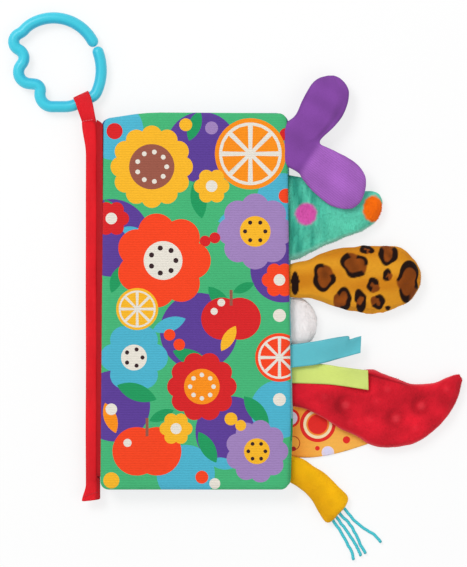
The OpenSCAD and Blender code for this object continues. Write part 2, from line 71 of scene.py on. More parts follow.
# The part's own sizes, in millimetres
SPINE_X, FORE_X, FOOT_Y = -58.8, 58.8, -115.8
HEAD_SPINE_Y, HEAD_FORE_Y = 114.45, 117.15
TAPER_SPINE, TAPER_FORE, CORNER_R = 1.9, 3.4, 5.0
BACK_MID_Z, FRONT_MID_Z, PANEL_T = 1.8, 13.0, 3.6
MID_Z = 7.4
LEAF_MID_Z = (5.7, 9.1)
LEAF_PROUD, LAY_GAP, ROOT_SUNK = 1.4, 0.3, 2.6
TAPE_LEFT, TAPE_RIGHT, HINGE_X = -68.2, -59.2, -63.7
TAPE_HEAD_Y, BAND_FOOT_Y, FOOT_END_Y = 112.8, -110.8, -123.8
WIRE_X, WIRE_Y, WIRE_Z, WIRE_R = -69.617, 125.488, 4.55, 3.55
LOOP_LEAN, LOOP_W = 25.0, 10.4
COVER_HEIGHT, LEAF_HEIGHT = 231.6, 230.0
BACK_SKEW, LEAF_SKEW = 0.4, (0.12, 0.34)

# The covers' soft fill and the puckers beside their seam
FILL_SIZE, FILL_START, UNDERSIDE_SHARE = 46.0, 16.0, 0.25
PUCKER_SIZE, PUCKER_HEIGHT, PUCKER_AT, PUCKER_SPREAD = 9.0, 0.16, 4.0, 14.0

# How the tails are stuffed: the simulation's scale and length, and its limits in plan
CLOTH_ZOOM, CLOTH_FRAMES, TAIL_SPAN, PLAN_CAP = 10.0, 16, 0.03, 0.45
# Tufts: how much they stand up and lean, how deep they are rooted, and what they keep off the floor
TUFT_STAND, TUFT_LEAN, TUFT_ROOT, TUFT_FLOOR, TAIL_FLOOR = 0.55, 0.75, 0.25, 0.05, 0.1
FORE_BOW = (
    (-93.9, 58.4), (-80.0, 59.0), (-69.0, 59.2), (-50.0, 59.0), (-30.0, 58.7), (5.0, 58.2),
    (43.7, 57.7), (86.4, 57.1)
)
HEAD_RISE = ((30.0, 0.2), (0.0, 0.4), (-22.0, 0.5), (-30.0, 0.2), (-38.0, -0.6))


def linear(code: str) -> Array:
    """A written colour such as "#42B576" as linear red, green and blue.

    Args:
        code: the colour as six hex digits after a hash sign.

    Returns:
        The three linear values.
    """
    parts = [int(code[i : i + 2], 16) / 255 for i in (1, 3, 5)]
    return np.array([c / 12.92 if c <= 0.04045 else ((c + 0.055) / 1.055) ** 2.4 for c in parts])


def mixed(first: Array, second: Array, share: Array) -> Array:
    """Rows of colour: the first where share is 0, the second where it is 1."""
    return first * (1 - share)[:, None] + second * share[:, None]


def along(points: list, u: Array) -> Array:
    """A smooth curve through points.

    Args:
        points: the points or single values that it passes.
        u: places on it, from 0 to 1.

    Returns:
        One row for each place.
    """
    p = np.asarray(points, float)
    p = p[:, None] if p.ndim == 1 else p
    s = np.clip(u, 0, 1) * (len(p) - 1)
    i = np.minimum(s.astype(int), len(p) - 2)
    t = (s - i)[:, None]
    a, b, c, d = p[np.maximum(i - 1, 0)], p[i], p[i + 1], p[np.minimum(i + 2, len(p) - 1)]
    return 0.5 * (
        2 * b + (c - a) * t + (2 * a - 5 * b + 4 * c - d) * t**2 + (3 * b - a - 3 * c + d) * t**3
    )


def ripple(points: Array, size: float, seed: int, waves: int = 7) -> Array:
    """Smooth uneven values about zero, the same on every run.

    Args:
        points: places, one row each.
        size: rough distance between two bumps, in the points' unit.
        seed: number of the pattern.
        waves: how many waves are added up.

    Returns:
        One value for each place, mostly from -1 to 1.
    """
    rng = np.random.default_rng(seed)
    ways = unit(rng.normal(size=(waves, points.shape[1])))
    lengths = size * rng.uniform(0.6, 1.7, waves)
    phases = rng.uniform(0, 2 * np.pi, waves)
    return np.sin(points @ ways.T * (2 * np.pi / lengths) + phases).sum(1) / math.sqrt(waves)


def smoothstep(low: float, high: float, value: Array | float) -> Array | float:
    """Rises softly from 0 at low to 1 at high."""
    t = np.clip((value - low) / (high - low), 0, 1)
    return t * t * (3 - 2 * t)


def inside(points: Array, outline: Array) -> Array:
    """Which points lie within a closed outline.

    Args:
        points: places in the plane, one row each.
        outline: the outline's corners in order.

    Returns:
        True or False for each point.
    """
    found = np.zeros(len(points), bool)
    low, high = outline.min(0), outline.max(0)
    near = np.where(((points >= low) & (points <= high)).all(1))[0]
    x, y = points[near, 0], points[near, 1]
    hit = np.zeros(len(near), bool)
    for (x0, y0), (x1, y1) in zip(outline, np.roll(outline, -1, 0)):
        if y0 != y1:
            hit ^= ((y0 > y) != (y1 > y)) & (x < (x1 - x0) * (y - y0) / (y1 - y0) + x0)
    found[near] = hit
    return found


def line_distance(points: Array, line: Array) -> Array:
    """Distance of each point to a line through corners."""
    best = np.full(len(points), 1e9)
    for a, b in zip(line[:-1], line[1:]):
        d = b - a
        t = np.clip(((points - a) @ d) / max(d @ d, 1e-12), 0, 1)
        best = np.minimum(best, np.linalg.norm(points - a - t[:, None] * d, axis=1))
    return best


def rim_distance(points: Array, outline: Array) -> Array:
    """Distance of each point to the nearest side of a closed outline."""
    return line_distance(points, np.vstack([outline, outline[:1]]))


def disc(x: float, y: float, r: float, sides: int = 0) -> Array:
    """The outline of a circle, with sides about a millimetre long."""
    n = sides or int(np.clip(2 * math.pi * r / 0.9, 12, 72))
    a = np.arange(n) * 2 * np.pi / n
    return np.column_stack([x + r * np.cos(a), y + r * np.sin(a)])


def turned(outline: Array, x: float, y: float, degrees: float) -> Array:
    """An outline turned about the origin and moved to x, y."""
    a = math.radians(degrees)
    c, s = math.cos(a), math.sin(a)
    return outline @ np.array([[c, s], [-s, c]]) + [x, y]


def strip_faces(rows: int, columns: int, closed: bool = False) -> list:
    """Four-sided faces between rows of points.

    Args:
        rows: how many rows there are.
        columns: how many points each row has.
        closed: whether the last point of a row joins its first.

    Returns:
        The faces as tuples of point numbers.
    """
    spans = range(columns if closed else columns - 1)
    corners = ((0, 0), (0, 1), (1, 1), (1, 0))
    return [
        tuple((k + up) * columns + (j + over) % columns for up, over in corners)
        for k in range(rows - 1) for j in spans
    ]


def unit(rows: Array) -> Array:
    """Rows of a table, each brought to the length 1."""
    return rows / np.linalg.norm(rows, axis=1)[:, None]


def beside_seam(lay: Array, start: float) -> Array:
    """How near each point lies to the side seams: 0 up to start, 1 at the seam."""
    across = np.abs(lay[:, 1])
    return smoothstep(start, 1.0, across / max(across.max(), 1e-6))


def fore_at(y: float) -> float:
    """Where the front cover's fore-edge lies at the height y."""
    return FORE_X - TAPER_FORE * (y - FOOT_Y) / (HEAD_FORE_Y - FOOT_Y)


def root_pt(y: float) -> list[float]:
    """A point where a tail leaves the leaves, at the height y."""
    return [fore_at(y) + LEAF_PROUD + LAY_GAP - ROOT_SUNK, y]


def cover_root_pt(y: float) -> list[float]:
    """A point where a tail leaves the front cover, at the height y."""
    return [fore_at(y) + LAY_GAP - ROOT_SUNK, y]


def cover_outline(inset: float = 0.0, corner_sides: int = 8) -> Array:
    """Plan of a cover with round corners, stepped in by inset."""
    centres = [
        (FORE_X - 1.0 - CORNER_R, FOOT_Y + CORNER_R, -90),
        (FORE_X - TAPER_FORE + 1.2 - CORNER_R, HEAD_FORE_Y - CORNER_R, 0),
        (SPINE_X + TAPER_SPINE + CORNER_R, HEAD_SPINE_Y - CORNER_R, 90),
        (SPINE_X + CORNER_R, FOOT_Y + CORNER_R, 180),
    ]
    points = []
    for x, y, start in centres:
        for k in range(corner_sides + 1):
            a = math.radians(start + 90 * k / corner_sides)
            points.append((
                x + (CORNER_R - inset) * math.cos(a), y + (CORNER_R - inset) * math.sin(a)
            ))
        if start == -90:
            points += [(x - inset, y) for y, x in FORE_BOW]
        if start == 0:
            points += [(x, HEAD_FORE_Y - inset + y_rise) for x, y_rise in HEAD_RISE]
    return np.array(points)


class Maker:
    """Small helpers that put meshes into the scene."""

    @staticmethod
    def mesh(name: str, points: Array, faces: list, smooth: bool = True) -> bpy.types.Object:
        """A new mesh object at the origin.

        Args:
            name: the piece's name.
            points: its points, in metres.
            faces: lists of point numbers.
            smooth: whether its faces are shaded smoothly.

        Returns:
            The object, linked to the scene.
        """
        data = bpy.data.meshes.new(name)
        data.from_pydata([tuple(p) for p in points], [], [tuple(f) for f in faces])
        data.update()
        obj = bpy.data.objects.new(name, data)
        bpy.context.scene.collection.objects.link(obj)
        if smooth:
            data.polygons.foreach_set("use_smooth", np.ones(len(data.polygons), bool))
        return obj

    @staticmethod
    def pick(obj: bpy.types.Object) -> None:
        """Makes obj the only selected and the active object."""
        bpy.ops.object.select_all(action="DESELECT")
        obj.select_set(True)
        bpy.context.view_layer.objects.active = obj

    @staticmethod
    def tidy(obj: bpy.types.Object, merge: float = 1e-6) -> None:
        """Merges doubled points and turns all faces outwards."""
        Maker.pick(obj)
        bpy.ops.object.mode_set(mode="EDIT")
        bpy.ops.mesh.select_all(action="SELECT")
        bpy.ops.mesh.remove_doubles(threshold=merge)
        bpy.ops.mesh.normals_make_consistent(inside=False)
        bpy.ops.object.mode_set(mode="OBJECT")

    @staticmethod
    def apply(obj: bpy.types.Object, kind: str, **values: object) -> None:
        """Adds a modifier of the given kind and values, and applies it."""
        Maker.pick(obj)
        modifier = obj.modifiers.new(kind.lower(), kind)
        for key, value in values.items():
            setattr(modifier, key, value)
        bpy.ops.object.modifier_apply(modifier=modifier.name)

    @staticmethod
    def subdivide(obj: bpy.types.Object) -> None:
        """Rounds a mesh by one level."""
        Maker.apply(obj, "SUBSURF", levels=1, render_levels=1)

    @staticmethod
    def solidify(obj: bpy.types.Object, thickness: float) -> None:
        """Gives a sheet an even thickness about its own face."""
        Maker.apply(obj, "SOLIDIFY", thickness=thickness, offset=0.0)

    @staticmethod
    def points(obj: bpy.types.Object, what: str = "co") -> Array:
        """The mesh's points, or their normals, as rows of x, y, z in metres."""
        flat = np.zeros(len(obj.data.vertices) * 3)
        obj.data.vertices.foreach_get(what, flat)
        return flat.reshape(-1, 3)

    @staticmethod
    def normals(obj: bpy.types.Object) -> Array:
        """The directions in which the mesh's points face."""
        return Maker.points(obj, "normal")

    @staticmethod
    def place(obj: bpy.types.Object, points: Array) -> None:
        """Moves the mesh's points to new places, in metres."""
        obj.data.vertices.foreach_set("co", points.ravel())
        obj.data.update()

    @staticmethod
    def tint(
        obj: bpy.types.Object, colours: Array, domain: str = "POINT", share: Array | float = 1.0
    ) -> None:
        """Stores linear colours in the attribute that the finishes read.

        Args:
            obj: the piece.
            colours: one row of red, green and blue for each point or corner.
            domain: POINT or CORNER.
            share: how much of its second pattern a finish shows there, from 0 to 1.
        """
        layer = obj.data.color_attributes.get("tint") or obj.data.color_attributes.new(
            "tint", "FLOAT_COLOR", domain
        )
        full = np.ones((len(colours), 4), np.float32)
        full[:, :3] = np.clip(colours, 0, 1)
        full[:, 3] = share
        layer.data.foreach_set("color", full.ravel())

    @staticmethod
    def corners(obj: bpy.types.Object) -> Array:
        """The number of the point at each corner of the faces."""
        numbers = np.zeros(len(obj.data.loops), np.int32)
        obj.data.loops.foreach_get("vertex_index", numbers)
        return numbers

    @staticmethod
    def lay_uv(obj: bpy.types.Object, places: Array) -> None:
        """Stores a place along and across the piece, in metres, as its UV map."""
        layer = obj.data.uv_layers.get("lay") or obj.data.uv_layers.new(name="lay")
        layer.data.foreach_set("uv", places[Maker.corners(obj)].astype(np.float32).ravel())

    @staticmethod
    def uv_at_points(obj: bpy.types.Object) -> Array:
        """The UV place of each point."""
        loops = Maker.corners(obj)
        flat = np.zeros(len(loops) * 2, np.float32)
        obj.data.uv_layers["lay"].data.foreach_get("uv", flat)
        out = np.zeros((len(obj.data.vertices), 2))
        out[loops] = flat.reshape(-1, 2)
        return out

    @staticmethod
    def dress(
        obj: bpy.types.Object, finish: "Finish", slot: str, body: str = "", nodes: tuple = ()
    ) -> None:
        """Args:
            obj: the piece.
            finish: what its surface looks like.
            slot: not used.
            body: the body that it rides on, if it rides on one alone.
            nodes: the solids that it stands for.
        """
        obj.data.materials.clear()
        obj.data.materials.append(finish.material())
        if body:
            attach(obj, body)
        if nodes:
            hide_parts(*nodes)
        log.info("%s: %d faces", obj.name, len(obj.data.polygons))


class Space(Enum):
    """Where a pattern is read."""

    OBJECT = "Object"
    LAY = "UV"


class NodeSheet:
    """A material's node tree, with one call for each node."""

    def __init__(self, name: str) -> None:
        """Starts a material with a Principled shader."""
        self.material = bpy.data.materials.new(name)
        self.material.use_nodes = True
        self.tree = self.material.node_tree
        self.shader = self.tree.nodes["Principled BSDF"]
        self.output = self.tree.nodes["Material Output"]

    def add(self, kind: str, inputs: dict | None = None, **values: object) -> bpy.types.Node:
        """A new node.

        Args:
            kind: its type.
            inputs: for each input's name or number, a socket to join or a value to set.
            values: its other properties by name.

        Returns:
            The node.
        """
        node = self.tree.nodes.new(kind)
        for key, value in values.items():
            setattr(node, key, value)
        for key, value in (inputs or {}).items():
            if isinstance(value, bpy.types.NodeSocket):
                self.tree.links.new(value, node.inputs[key])
            else:
                node.inputs[key].default_value = value
        return node

    def maths(self, operation: str, a: object, b: object) -> bpy.types.NodeSocket:
        """The result of a sum of two sockets or numbers."""
        return self.add("ShaderNodeMath", {0: a, 1: b}, operation=operation).outputs[0]

    def places(
        self, space: Space, scale: tuple = (1, 1, 1), turn: float = 0.0
    ) -> bpy.types.NodeSocket:
        """Coordinates of the surface, stretched by scale and turned by degrees."""
        source = self.add("ShaderNodeTexCoord").outputs[space.value]
        rotation = (0, 0, math.radians(turn))
        node = self.add(
            "ShaderNodeMapping", {"Vector": source, "Rotation": rotation, "Scale": scale}
        )
        return node.outputs[0]

    def noise(
        self, at: bpy.types.NodeSocket, scale: float, detail: float = 2.0
    ) -> bpy.types.NodeSocket:
        """A cloudy value from 0 to 1, about 0.5."""
        node = self.add("ShaderNodeTexNoise", {"Vector": at, "Scale": scale, "Detail": detail})
        return node.outputs["Fac"]

    def ribs(
        self, at: bpy.types.NodeSocket, pitch: float, axis: str, waver: float = 0.0
    ) -> bpy.types.NodeSocket:
        """Even ribs of the given pitch in metres across an axis."""
        values = {"Vector": at, "Scale": WAVE_SCALE / pitch, "Distortion": waver, "Detail": 1.0}
        node = self.add(
            "ShaderNodeTexWave", values, wave_type="BANDS", bands_direction=axis, wave_profile="SIN"
        )
        return node.outputs["Fac"]

    def tinted(self, what: str = "Color") -> bpy.types.NodeSocket:
        """The colour painted on the piece, or as "Alpha" the share painted with it."""
        return self.add("ShaderNodeAttribute", attribute_name="tint").outputs[what]

    def plain(self, colour: Array) -> bpy.types.NodeSocket:
        """One colour."""
        node = self.add("ShaderNodeRGB")
        node.outputs[0].default_value = (*colour, 1)
        return node.outputs[0]

    def shaded(self, colour: bpy.types.NodeSocket, *levels: tuple) -> bpy.types.NodeSocket:
        """A colour made darker or lighter by values from 0 to 1.

        Args:
            colour: the colour to start from.
            levels: for each value, the value and the factors where it is 0 and where it is 1.

        Returns:
            The changed colour.
        """
        for value, low, high in levels:
            level = self.add("ShaderNodeMapRange", {"Value": value, "To Min": low, "To Max": high})
            inputs = {0: colour, "Scale": level.outputs[0]}
            colour = self.add("ShaderNodeVectorMath", inputs, operation="SCALE").outputs[0]
        return colour

    def relief(self, *heights: tuple) -> bpy.types.NodeSocket:
        """A normal that shows heights, the coarsest first.

        Args:
            heights: for each, its value, its depth in metres and its strength.

        Returns:
            The normal.
        """
        normal = None
        for height, depth, strength in heights:
            inputs = {"Height": height, "Distance": depth, "Strength": strength}
            if normal is not None:
                inputs["Normal"] = normal
            normal = self.add("ShaderNodeBump", inputs).outputs[0]
        return normal

    def finish(
        self, colour: bpy.types.NodeSocket, normal: bpy.types.NodeSocket, roughness: float,
        **sockets: float
    ) -> bpy.types.Material:
        """Joins colour and normal to the shader and sets its plain values."""
        self.tree.links.new(colour, self.shader.inputs["Base Color"])
        self.tree.links.new(normal, self.shader.inputs["Normal"])
        self.shader.inputs["Roughness"].default_value = roughness
        for key, value in sockets.items():
            socket = key.replace("_", " ").title().replace("Ior", "IOR")
            self.shader.inputs[socket].default_value = value
        return self.material


@dataclass(frozen=True)
class Finish:
    """A finish, with the name of its material."""

    name: str

    def material(self) -> bpy.types.Material:
        """The finish's material, made once."""
        name = self.name + "_look"
        return bpy.data.materials.get(name) or self.make(NodeSheet(name))

    def make(self, sheet: NodeSheet) -> bpy.types.Material:
        """Builds the nodes."""
        raise NotImplementedError


@dataclass(frozen=True)
class PileFinish(Finish):
    """Short plush or velour: painted colour, brushed streaks and a soft sheen."""

    streak: tuple[float, float, float] = (1, 1, 1)
    grain: float = 900.0
    depth: float = 0.0006
    sheen: float = 0.12
    dark: float = 0.86
    light: float = 1.12

    def make(self, sheet: NodeSheet) -> bpy.types.Material:
        """Streaky noise over the tint, with a pile bump."""
        at = sheet.places(Space.LAY, self.streak)
        brushed = sheet.noise(at, self.grain, 4.0)
        patches = sheet.noise(sheet.places(Space.OBJECT), 95.0)
        colour = sheet.shaded(
            sheet.tinted(), (brushed, self.dark, self.light), (patches, 0.93, 1.07)
        )
        fine = sheet.noise(sheet.places(Space.OBJECT), 2600.0)
        normal = sheet.relief((fine, self.depth * 0.4, 0.7), (brushed, self.depth, 0.8))
        return sheet.finish(
            colour, normal, 0.92, sheen_weight=self.sheen, sheen_roughness=0.45,
            specular_ior_level=0.12
        )


@dataclass(frozen=True)
class VelourFinish(Finish):
    """Flat velour with fine ribs where its share is painted."""

    pitch: float = 0.0013
    rib_turn: float = -53.0

    def make(self, sheet: NodeSheet) -> bpy.types.Material:
        """Fine grain over the tint, and ribs by their share."""
        grain = sheet.noise(sheet.places(Space.OBJECT), 1900.0, 3.0)
        soft = sheet.noise(sheet.places(Space.OBJECT), 90.0)
        wave = sheet.ribs(sheet.places(Space.OBJECT, turn=self.rib_turn), self.pitch, "X", 0.8)
        ribs = sheet.maths("MULTIPLY", wave, sheet.tinted("Alpha"))
        colour = sheet.shaded(
            sheet.tinted(), (grain, 0.84, 1.16), (soft, 0.94, 1.06), (ribs, 1.04, 0.86)
        )
        normal = sheet.relief((soft, 0.0006, 0.3), (grain, 0.00018, 0.6), (ribs, -0.00022, 0.8))
        return sheet.finish(
            colour, normal, 0.9, sheen_weight=0.12, sheen_roughness=0.5, specular_ior_level=0.1
        )


@dataclass(frozen=True)
class RibbedFinish(Finish):
    """Printed cloth with fine ribs across its height."""

    pitch: float = 0.00105
    depth: float = 0.00016

    def make(self, sheet: NodeSheet) -> bpy.types.Material:
        """Ribs, cross threads and faint wear over the tint."""
        at = sheet.places(Space.OBJECT)
        ribs = sheet.ribs(at, self.pitch, "Y", 0.6)
        threads = sheet.noise(sheet.places(Space.OBJECT, (0.35, 1, 1)), 2400.0)
        clouds = sheet.noise(at, 22.0, 3.0)
        colour = sheet.shaded(
            sheet.tinted(), (ribs, 0.9, 1.05), (threads, 0.9, 1.1), (clouds, 0.95, 1.05)
        )
        normal = sheet.relief(
            (clouds, 0.0012, 0.25), (threads, 0.00012, 0.6), (ribs, self.depth, 1.0)
        )
        return sheet.finish(colour, normal, 0.78, sheen_weight=0.08, specular_ior_level=0.25)


@dataclass(frozen=True)
class TapeFinish(Finish):
    """Woven tape or ribbon: close ribs, a satin gleam along the threads."""

    pitch: float = 0.0007
    depth: float = 0.00014
    roughness: float = 0.55
    gleam: float = 0.2

    def make(self, sheet: NodeSheet) -> bpy.types.Material:
        """Ribs across the run, threads along it."""
        at = sheet.places(Space.LAY)
        ribs = sheet.ribs(at, self.pitch, "X", 0.3)
        threads = sheet.noise(sheet.places(Space.LAY, (0.08, 1, 1)), 4200.0)
        soft = sheet.noise(at, 60.0)
        colour = sheet.shaded(
            sheet.tinted(), (ribs, 0.9, 1.06), (threads, 0.9, 1.1), (soft, 0.94, 1.06)
        )
        normal = sheet.relief((soft, 0.0008, 0.4), (threads, 0.00008, 0.5), (ribs, self.depth, 1.0))
        return sheet.finish(
            colour, normal, self.roughness, sheen_weight=0.02, specular_ior_level=self.gleam
        )


@dataclass(frozen=True)
class PlasticFinish(Finish):
    """Satin moulded plastic, with a painted sheen: paler where it turns away."""

    # The colour of the painted sheen, mixed in where the surface turns away.
    edge: str = "#56CEEA"

    def make(self, sheet: NodeSheet) -> bpy.types.Material:
        """A slight flow in colour and surface under a clear gloss, and a painted sheen where the
        surface turns away.
        """
        at = sheet.places(Space.OBJECT)
        flow = sheet.noise(at, 60.0)
        fine = sheet.noise(at, 1500.0)
        # Painted sheen: the paler colour grows towards grazing angles.
        facing = sheet.add("ShaderNodeLayerWeight", {"Blend": 0.35}).outputs["Facing"]
        mix = sheet.add("ShaderNodeMix", data_type="RGBA")
        sheet.tree.links.new(facing, mix.inputs["Factor"])
        sheet.tree.links.new(sheet.tinted(), mix.inputs["A"])
        sheet.tree.links.new(sheet.plain(linear(self.edge)), mix.inputs["B"])
        colour = sheet.shaded(mix.outputs["Result"], (flow, 0.93, 1.07))
        normal = sheet.relief((flow, 0.0006, 0.2), (fine, 0.00003, 0.5))
        return sheet.finish(
            colour, normal, 0.4, specular_ior_level=0.4, coat_weight=0.12, coat_roughness=0.25
        )


@dataclass(frozen=True)
class CordFinish(Finish):
    """Twisted string."""

    def make(self, sheet: NodeSheet) -> bpy.types.Material:
        """Slanted plies along the string."""
        at = sheet.places(Space.LAY)
        plies = sheet.ribs(at, PLY_PITCH, "DIAGONAL")
        fuzz = sheet.noise(sheet.places(Space.OBJECT), 2500.0)
        colour = sheet.shaded(sheet.tinted(), (plies, 0.88, 1.08), (fuzz, 0.92, 1.08))
        normal = sheet.relief((fuzz, 0.00006, 0.5), (plies, 0.00012, 0.8))
        return sheet.finish(colour, normal, 0.6, sheen_weight=0.05, specular_ior_level=0.25)


@dataclass(frozen=True)
class FloorFinish(Finish):
    """White paper sweep that keeps the object's soft shadow."""

    whiteness: float = 0.72

    def make(self, sheet: NodeSheet) -> bpy.types.Material:
        """Pale diffuse paper, lifted towards white for the camera and for reflections."""
        paths = sheet.add("ShaderNodeLightPath").outputs
        mirrored = sheet.maths("MAXIMUM", paths["Is Glossy Ray"], paths["Is Transmission Ray"])
        seen = sheet.maths("MAXIMUM", paths["Is Camera Ray"], mirrored)
        fibres = sheet.noise(sheet.places(Space.OBJECT), 300.0)
        colour = sheet.shaded(sheet.plain((0.93, 0.93, 0.93)), (fibres, 0.99, 1.01))
        sheet.finish(colour, sheet.relief((fibres, 0.00002, 0.2)), 0.9, specular_ior_level=0.1)
        glow = sheet.add("ShaderNodeEmission", {"Strength": 1.0}).outputs[0]
        share = sheet.maths("MULTIPLY", seen, self.whiteness)
        mix = sheet.add("ShaderNodeMixShader", {0: share, 1: sheet.shader.outputs[0], 2: glow})
        sheet.tree.links.new(mix.outputs[0], sheet.output.inputs["Surface"])
        return sheet.material


@dataclass
class Studio:
    """Camera, lamps and floor."""

    centre: tuple[float, float] = (0.02356, 0.01178)
    distance: float = 2.0
    level: float = 0.010
    frame_height: float = 0.35154
    sky: float = 0.62
    key_power: float = 14.0

    def camera(self) -> bpy.types.Object:
        """The camera, straight above the book."""
        data = bpy.data.cameras.new("camera")
        data.sensor_width = 36.0
        data.lens = 36.0 * self.distance / self.frame_height
        camera = bpy.data.objects.new("camera", data)
        camera.location = (*self.centre, self.level + self.distance)
        bpy.context.scene.collection.objects.link(camera)
        bpy.context.scene.camera = camera
        return camera

    def lamps(self) -> None:
        """A pale sky and one large soft lamp from the upper left."""
        world = bpy.data.worlds.new("studio")
        world.use_nodes = True
        world.node_tree.nodes["Background"].inputs["Color"].default_value = (1, 1, 1, 1)
        world.node_tree.nodes["Background"].inputs["Strength"].default_value = self.sky
        bpy.context.scene.world = world
        for name, place, size, power in (
            ("key", (-0.75, 0.85, 1.3), 0.7, self.key_power),
            ("fill", (0.9, -0.5, 1.2), 1.0, self.key_power * 0.25),
        ):
            data = bpy.data.lights.new(name, "AREA")
            data.size, data.energy = size, power
            lamp = bpy.data.objects.new(name, data)
            lamp.location = place
            aim = Vector(place) - Vector((0.02, 0.01, 0.0))
            lamp.rotation_euler = aim.to_track_quat("Z", "Y").to_euler()
            bpy.context.scene.collection.objects.link(lamp)

    def floor(self) -> bpy.types.Object:
        """The floor plane."""
        bpy.ops.mesh.primitive_plane_add(size=8.0, location=(0, 0, -0.0002))
        floor = bpy.context.object
        floor.name = "floor"
        floor.data.materials.append(FloorFinish("white_paper").material())
        return floor


@dataclass
class TasselStrings:
    """Four thin strings at the yellow tail's tip."""

    radius: float = 1.0
    routes: tuple = (
        (
            (91, -127, 2.4), (94, -130, 1.3), (99, -136, 1.0), (106, -141.5, 1.0),
            (111, -144.5, 1.0), (115.5, -149.5, 1.0)
        ),
        (
            (88.5, -129.5, 2.4), (91, -133, 1.3), (95.5, -137.5, 1.0), (99.5, -144, 1.0),
            (103, -151.5, 1.0), (106, -156.5, 1.0)
        ),
        (
            (86.5, -132, 2.4), (89, -135.5, 1.3), (93.5, -141.5, 1.0), (98.5, -149, 1.0),
            (101, -153.5, 1.0), (103, -158, 1.0)
        ),
        (
            (84.5, -134, 2.4), (87, -138, 1.3), (90.5, -143, 1.0), (94, -149.5, 1.0),
            (97, -155, 1.0), (98.5, -160.5, 1.0)
        ),
    )

    def build(self) -> None:
        for i, route in enumerate(self.routes):
            self.string(i + 1, np.array(route, float))

    def string(self, number: int, route: Array) -> bpy.types.Object:
        """One string with slightly wavering plies and a frayed end.

        Args:
            number: which string.
            route: the points of its path, in millimetres.

        Returns:
            The string's object.
        """
        steps, sides = 36, 10
        u = np.linspace(0, 1, steps)
        path = along(route, u)
        waver = np.column_stack([ripple(u[:, None], 0.16, seed) for seed in (number, number + 9)])
        path[:, :2] += 0.12 * waver * smoothstep(0, 0.1, u)[:, None]
        ways = unit(np.gradient(path, axis=0))
        side = unit(np.cross([0, 0, 1], ways))
        up = np.cross(ways, side)
        run = np.concatenate([[0], np.cumsum(np.linalg.norm(np.diff(path, axis=0), axis=1))])
        rings, lay = [], []
        for k in range(steps):
            r = self.radius * (0.96 if 0 < k < steps - 1 else 0.72)
            for j in range(sides):
                a = 2 * math.pi * j / sides
                rings.append(path[k] + r * (side[k] * math.cos(a) + up[k] * math.sin(a)))
                lay.append((run[k] * MM, j / sides * 0.005))
        faces = strip_faces(steps, sides, closed=True)
        faces += [tuple(range(sides))[::-1], tuple((steps - 1) * sides + j for j in range(sides))]
        obj = Maker.mesh(f"tassel_string_{number}_twisted", np.array(rings) * MM, faces)
        Maker.lay_uv(obj, np.array(lay))
        # Darker over the frayed tip, and painted shade where the string leaves the tail.
        tone = 1.0 - 0.3 * smoothstep(0.93, 1.0, u) - 0.15 * (1 - smoothstep(0, 0.1, u))
        tone = np.repeat(tone, sides)
        Maker.tint(obj, linear("#46C6D2") * tone[:, None])
        Maker.dress(
            obj, CordFinish("twisted_cord"), "tassel_cord", BLOCK, (f"tassel_string_{number}",)
        )
        log.info("tassel string %d: %.1f mm long", number, run[-1])
        return obj


@dataclass(frozen=True)
class Field:
    """One field of printed colour: outlines less holes, over all fields of a lower rank."""

    rank: int
    colour: str
    outlines: tuple
    holes: tuple = ()

    def covers(self, points: Array) -> Array:
        """Which points the field colours."""
        hit = np.zeros(len(points), bool)
        for outline in self.outlines:
            hit |= inside(points, outline)
        for hole in self.holes:
            hit &= ~inside(points, hole)
        return hit


class Ink(Enum):
    """The print's colours, in the order of printing."""

    GREEN = "#42B576"
    PURPLE = "#5A3A96"
    SKY = "#4AB3CE"
    LEAF = "#169A5C"
    LILAC = "#A082BC"
    CRIMSON = "#D81A1E"
    SCARLET = "#F84214"
    ORANGE = "#FB900A"
    YELLOW = "#F9B821"
    BROWN = "#9A5645"
    CREAM = "#E8E2D6"
    DARK = "#32191F"

    def field(self, *outlines: Array, holes: tuple = ()) -> Field:
        """A field of this colour, over all colours printed before it."""
        return Field(list(Ink).index(self), self.value, outlines, holes)


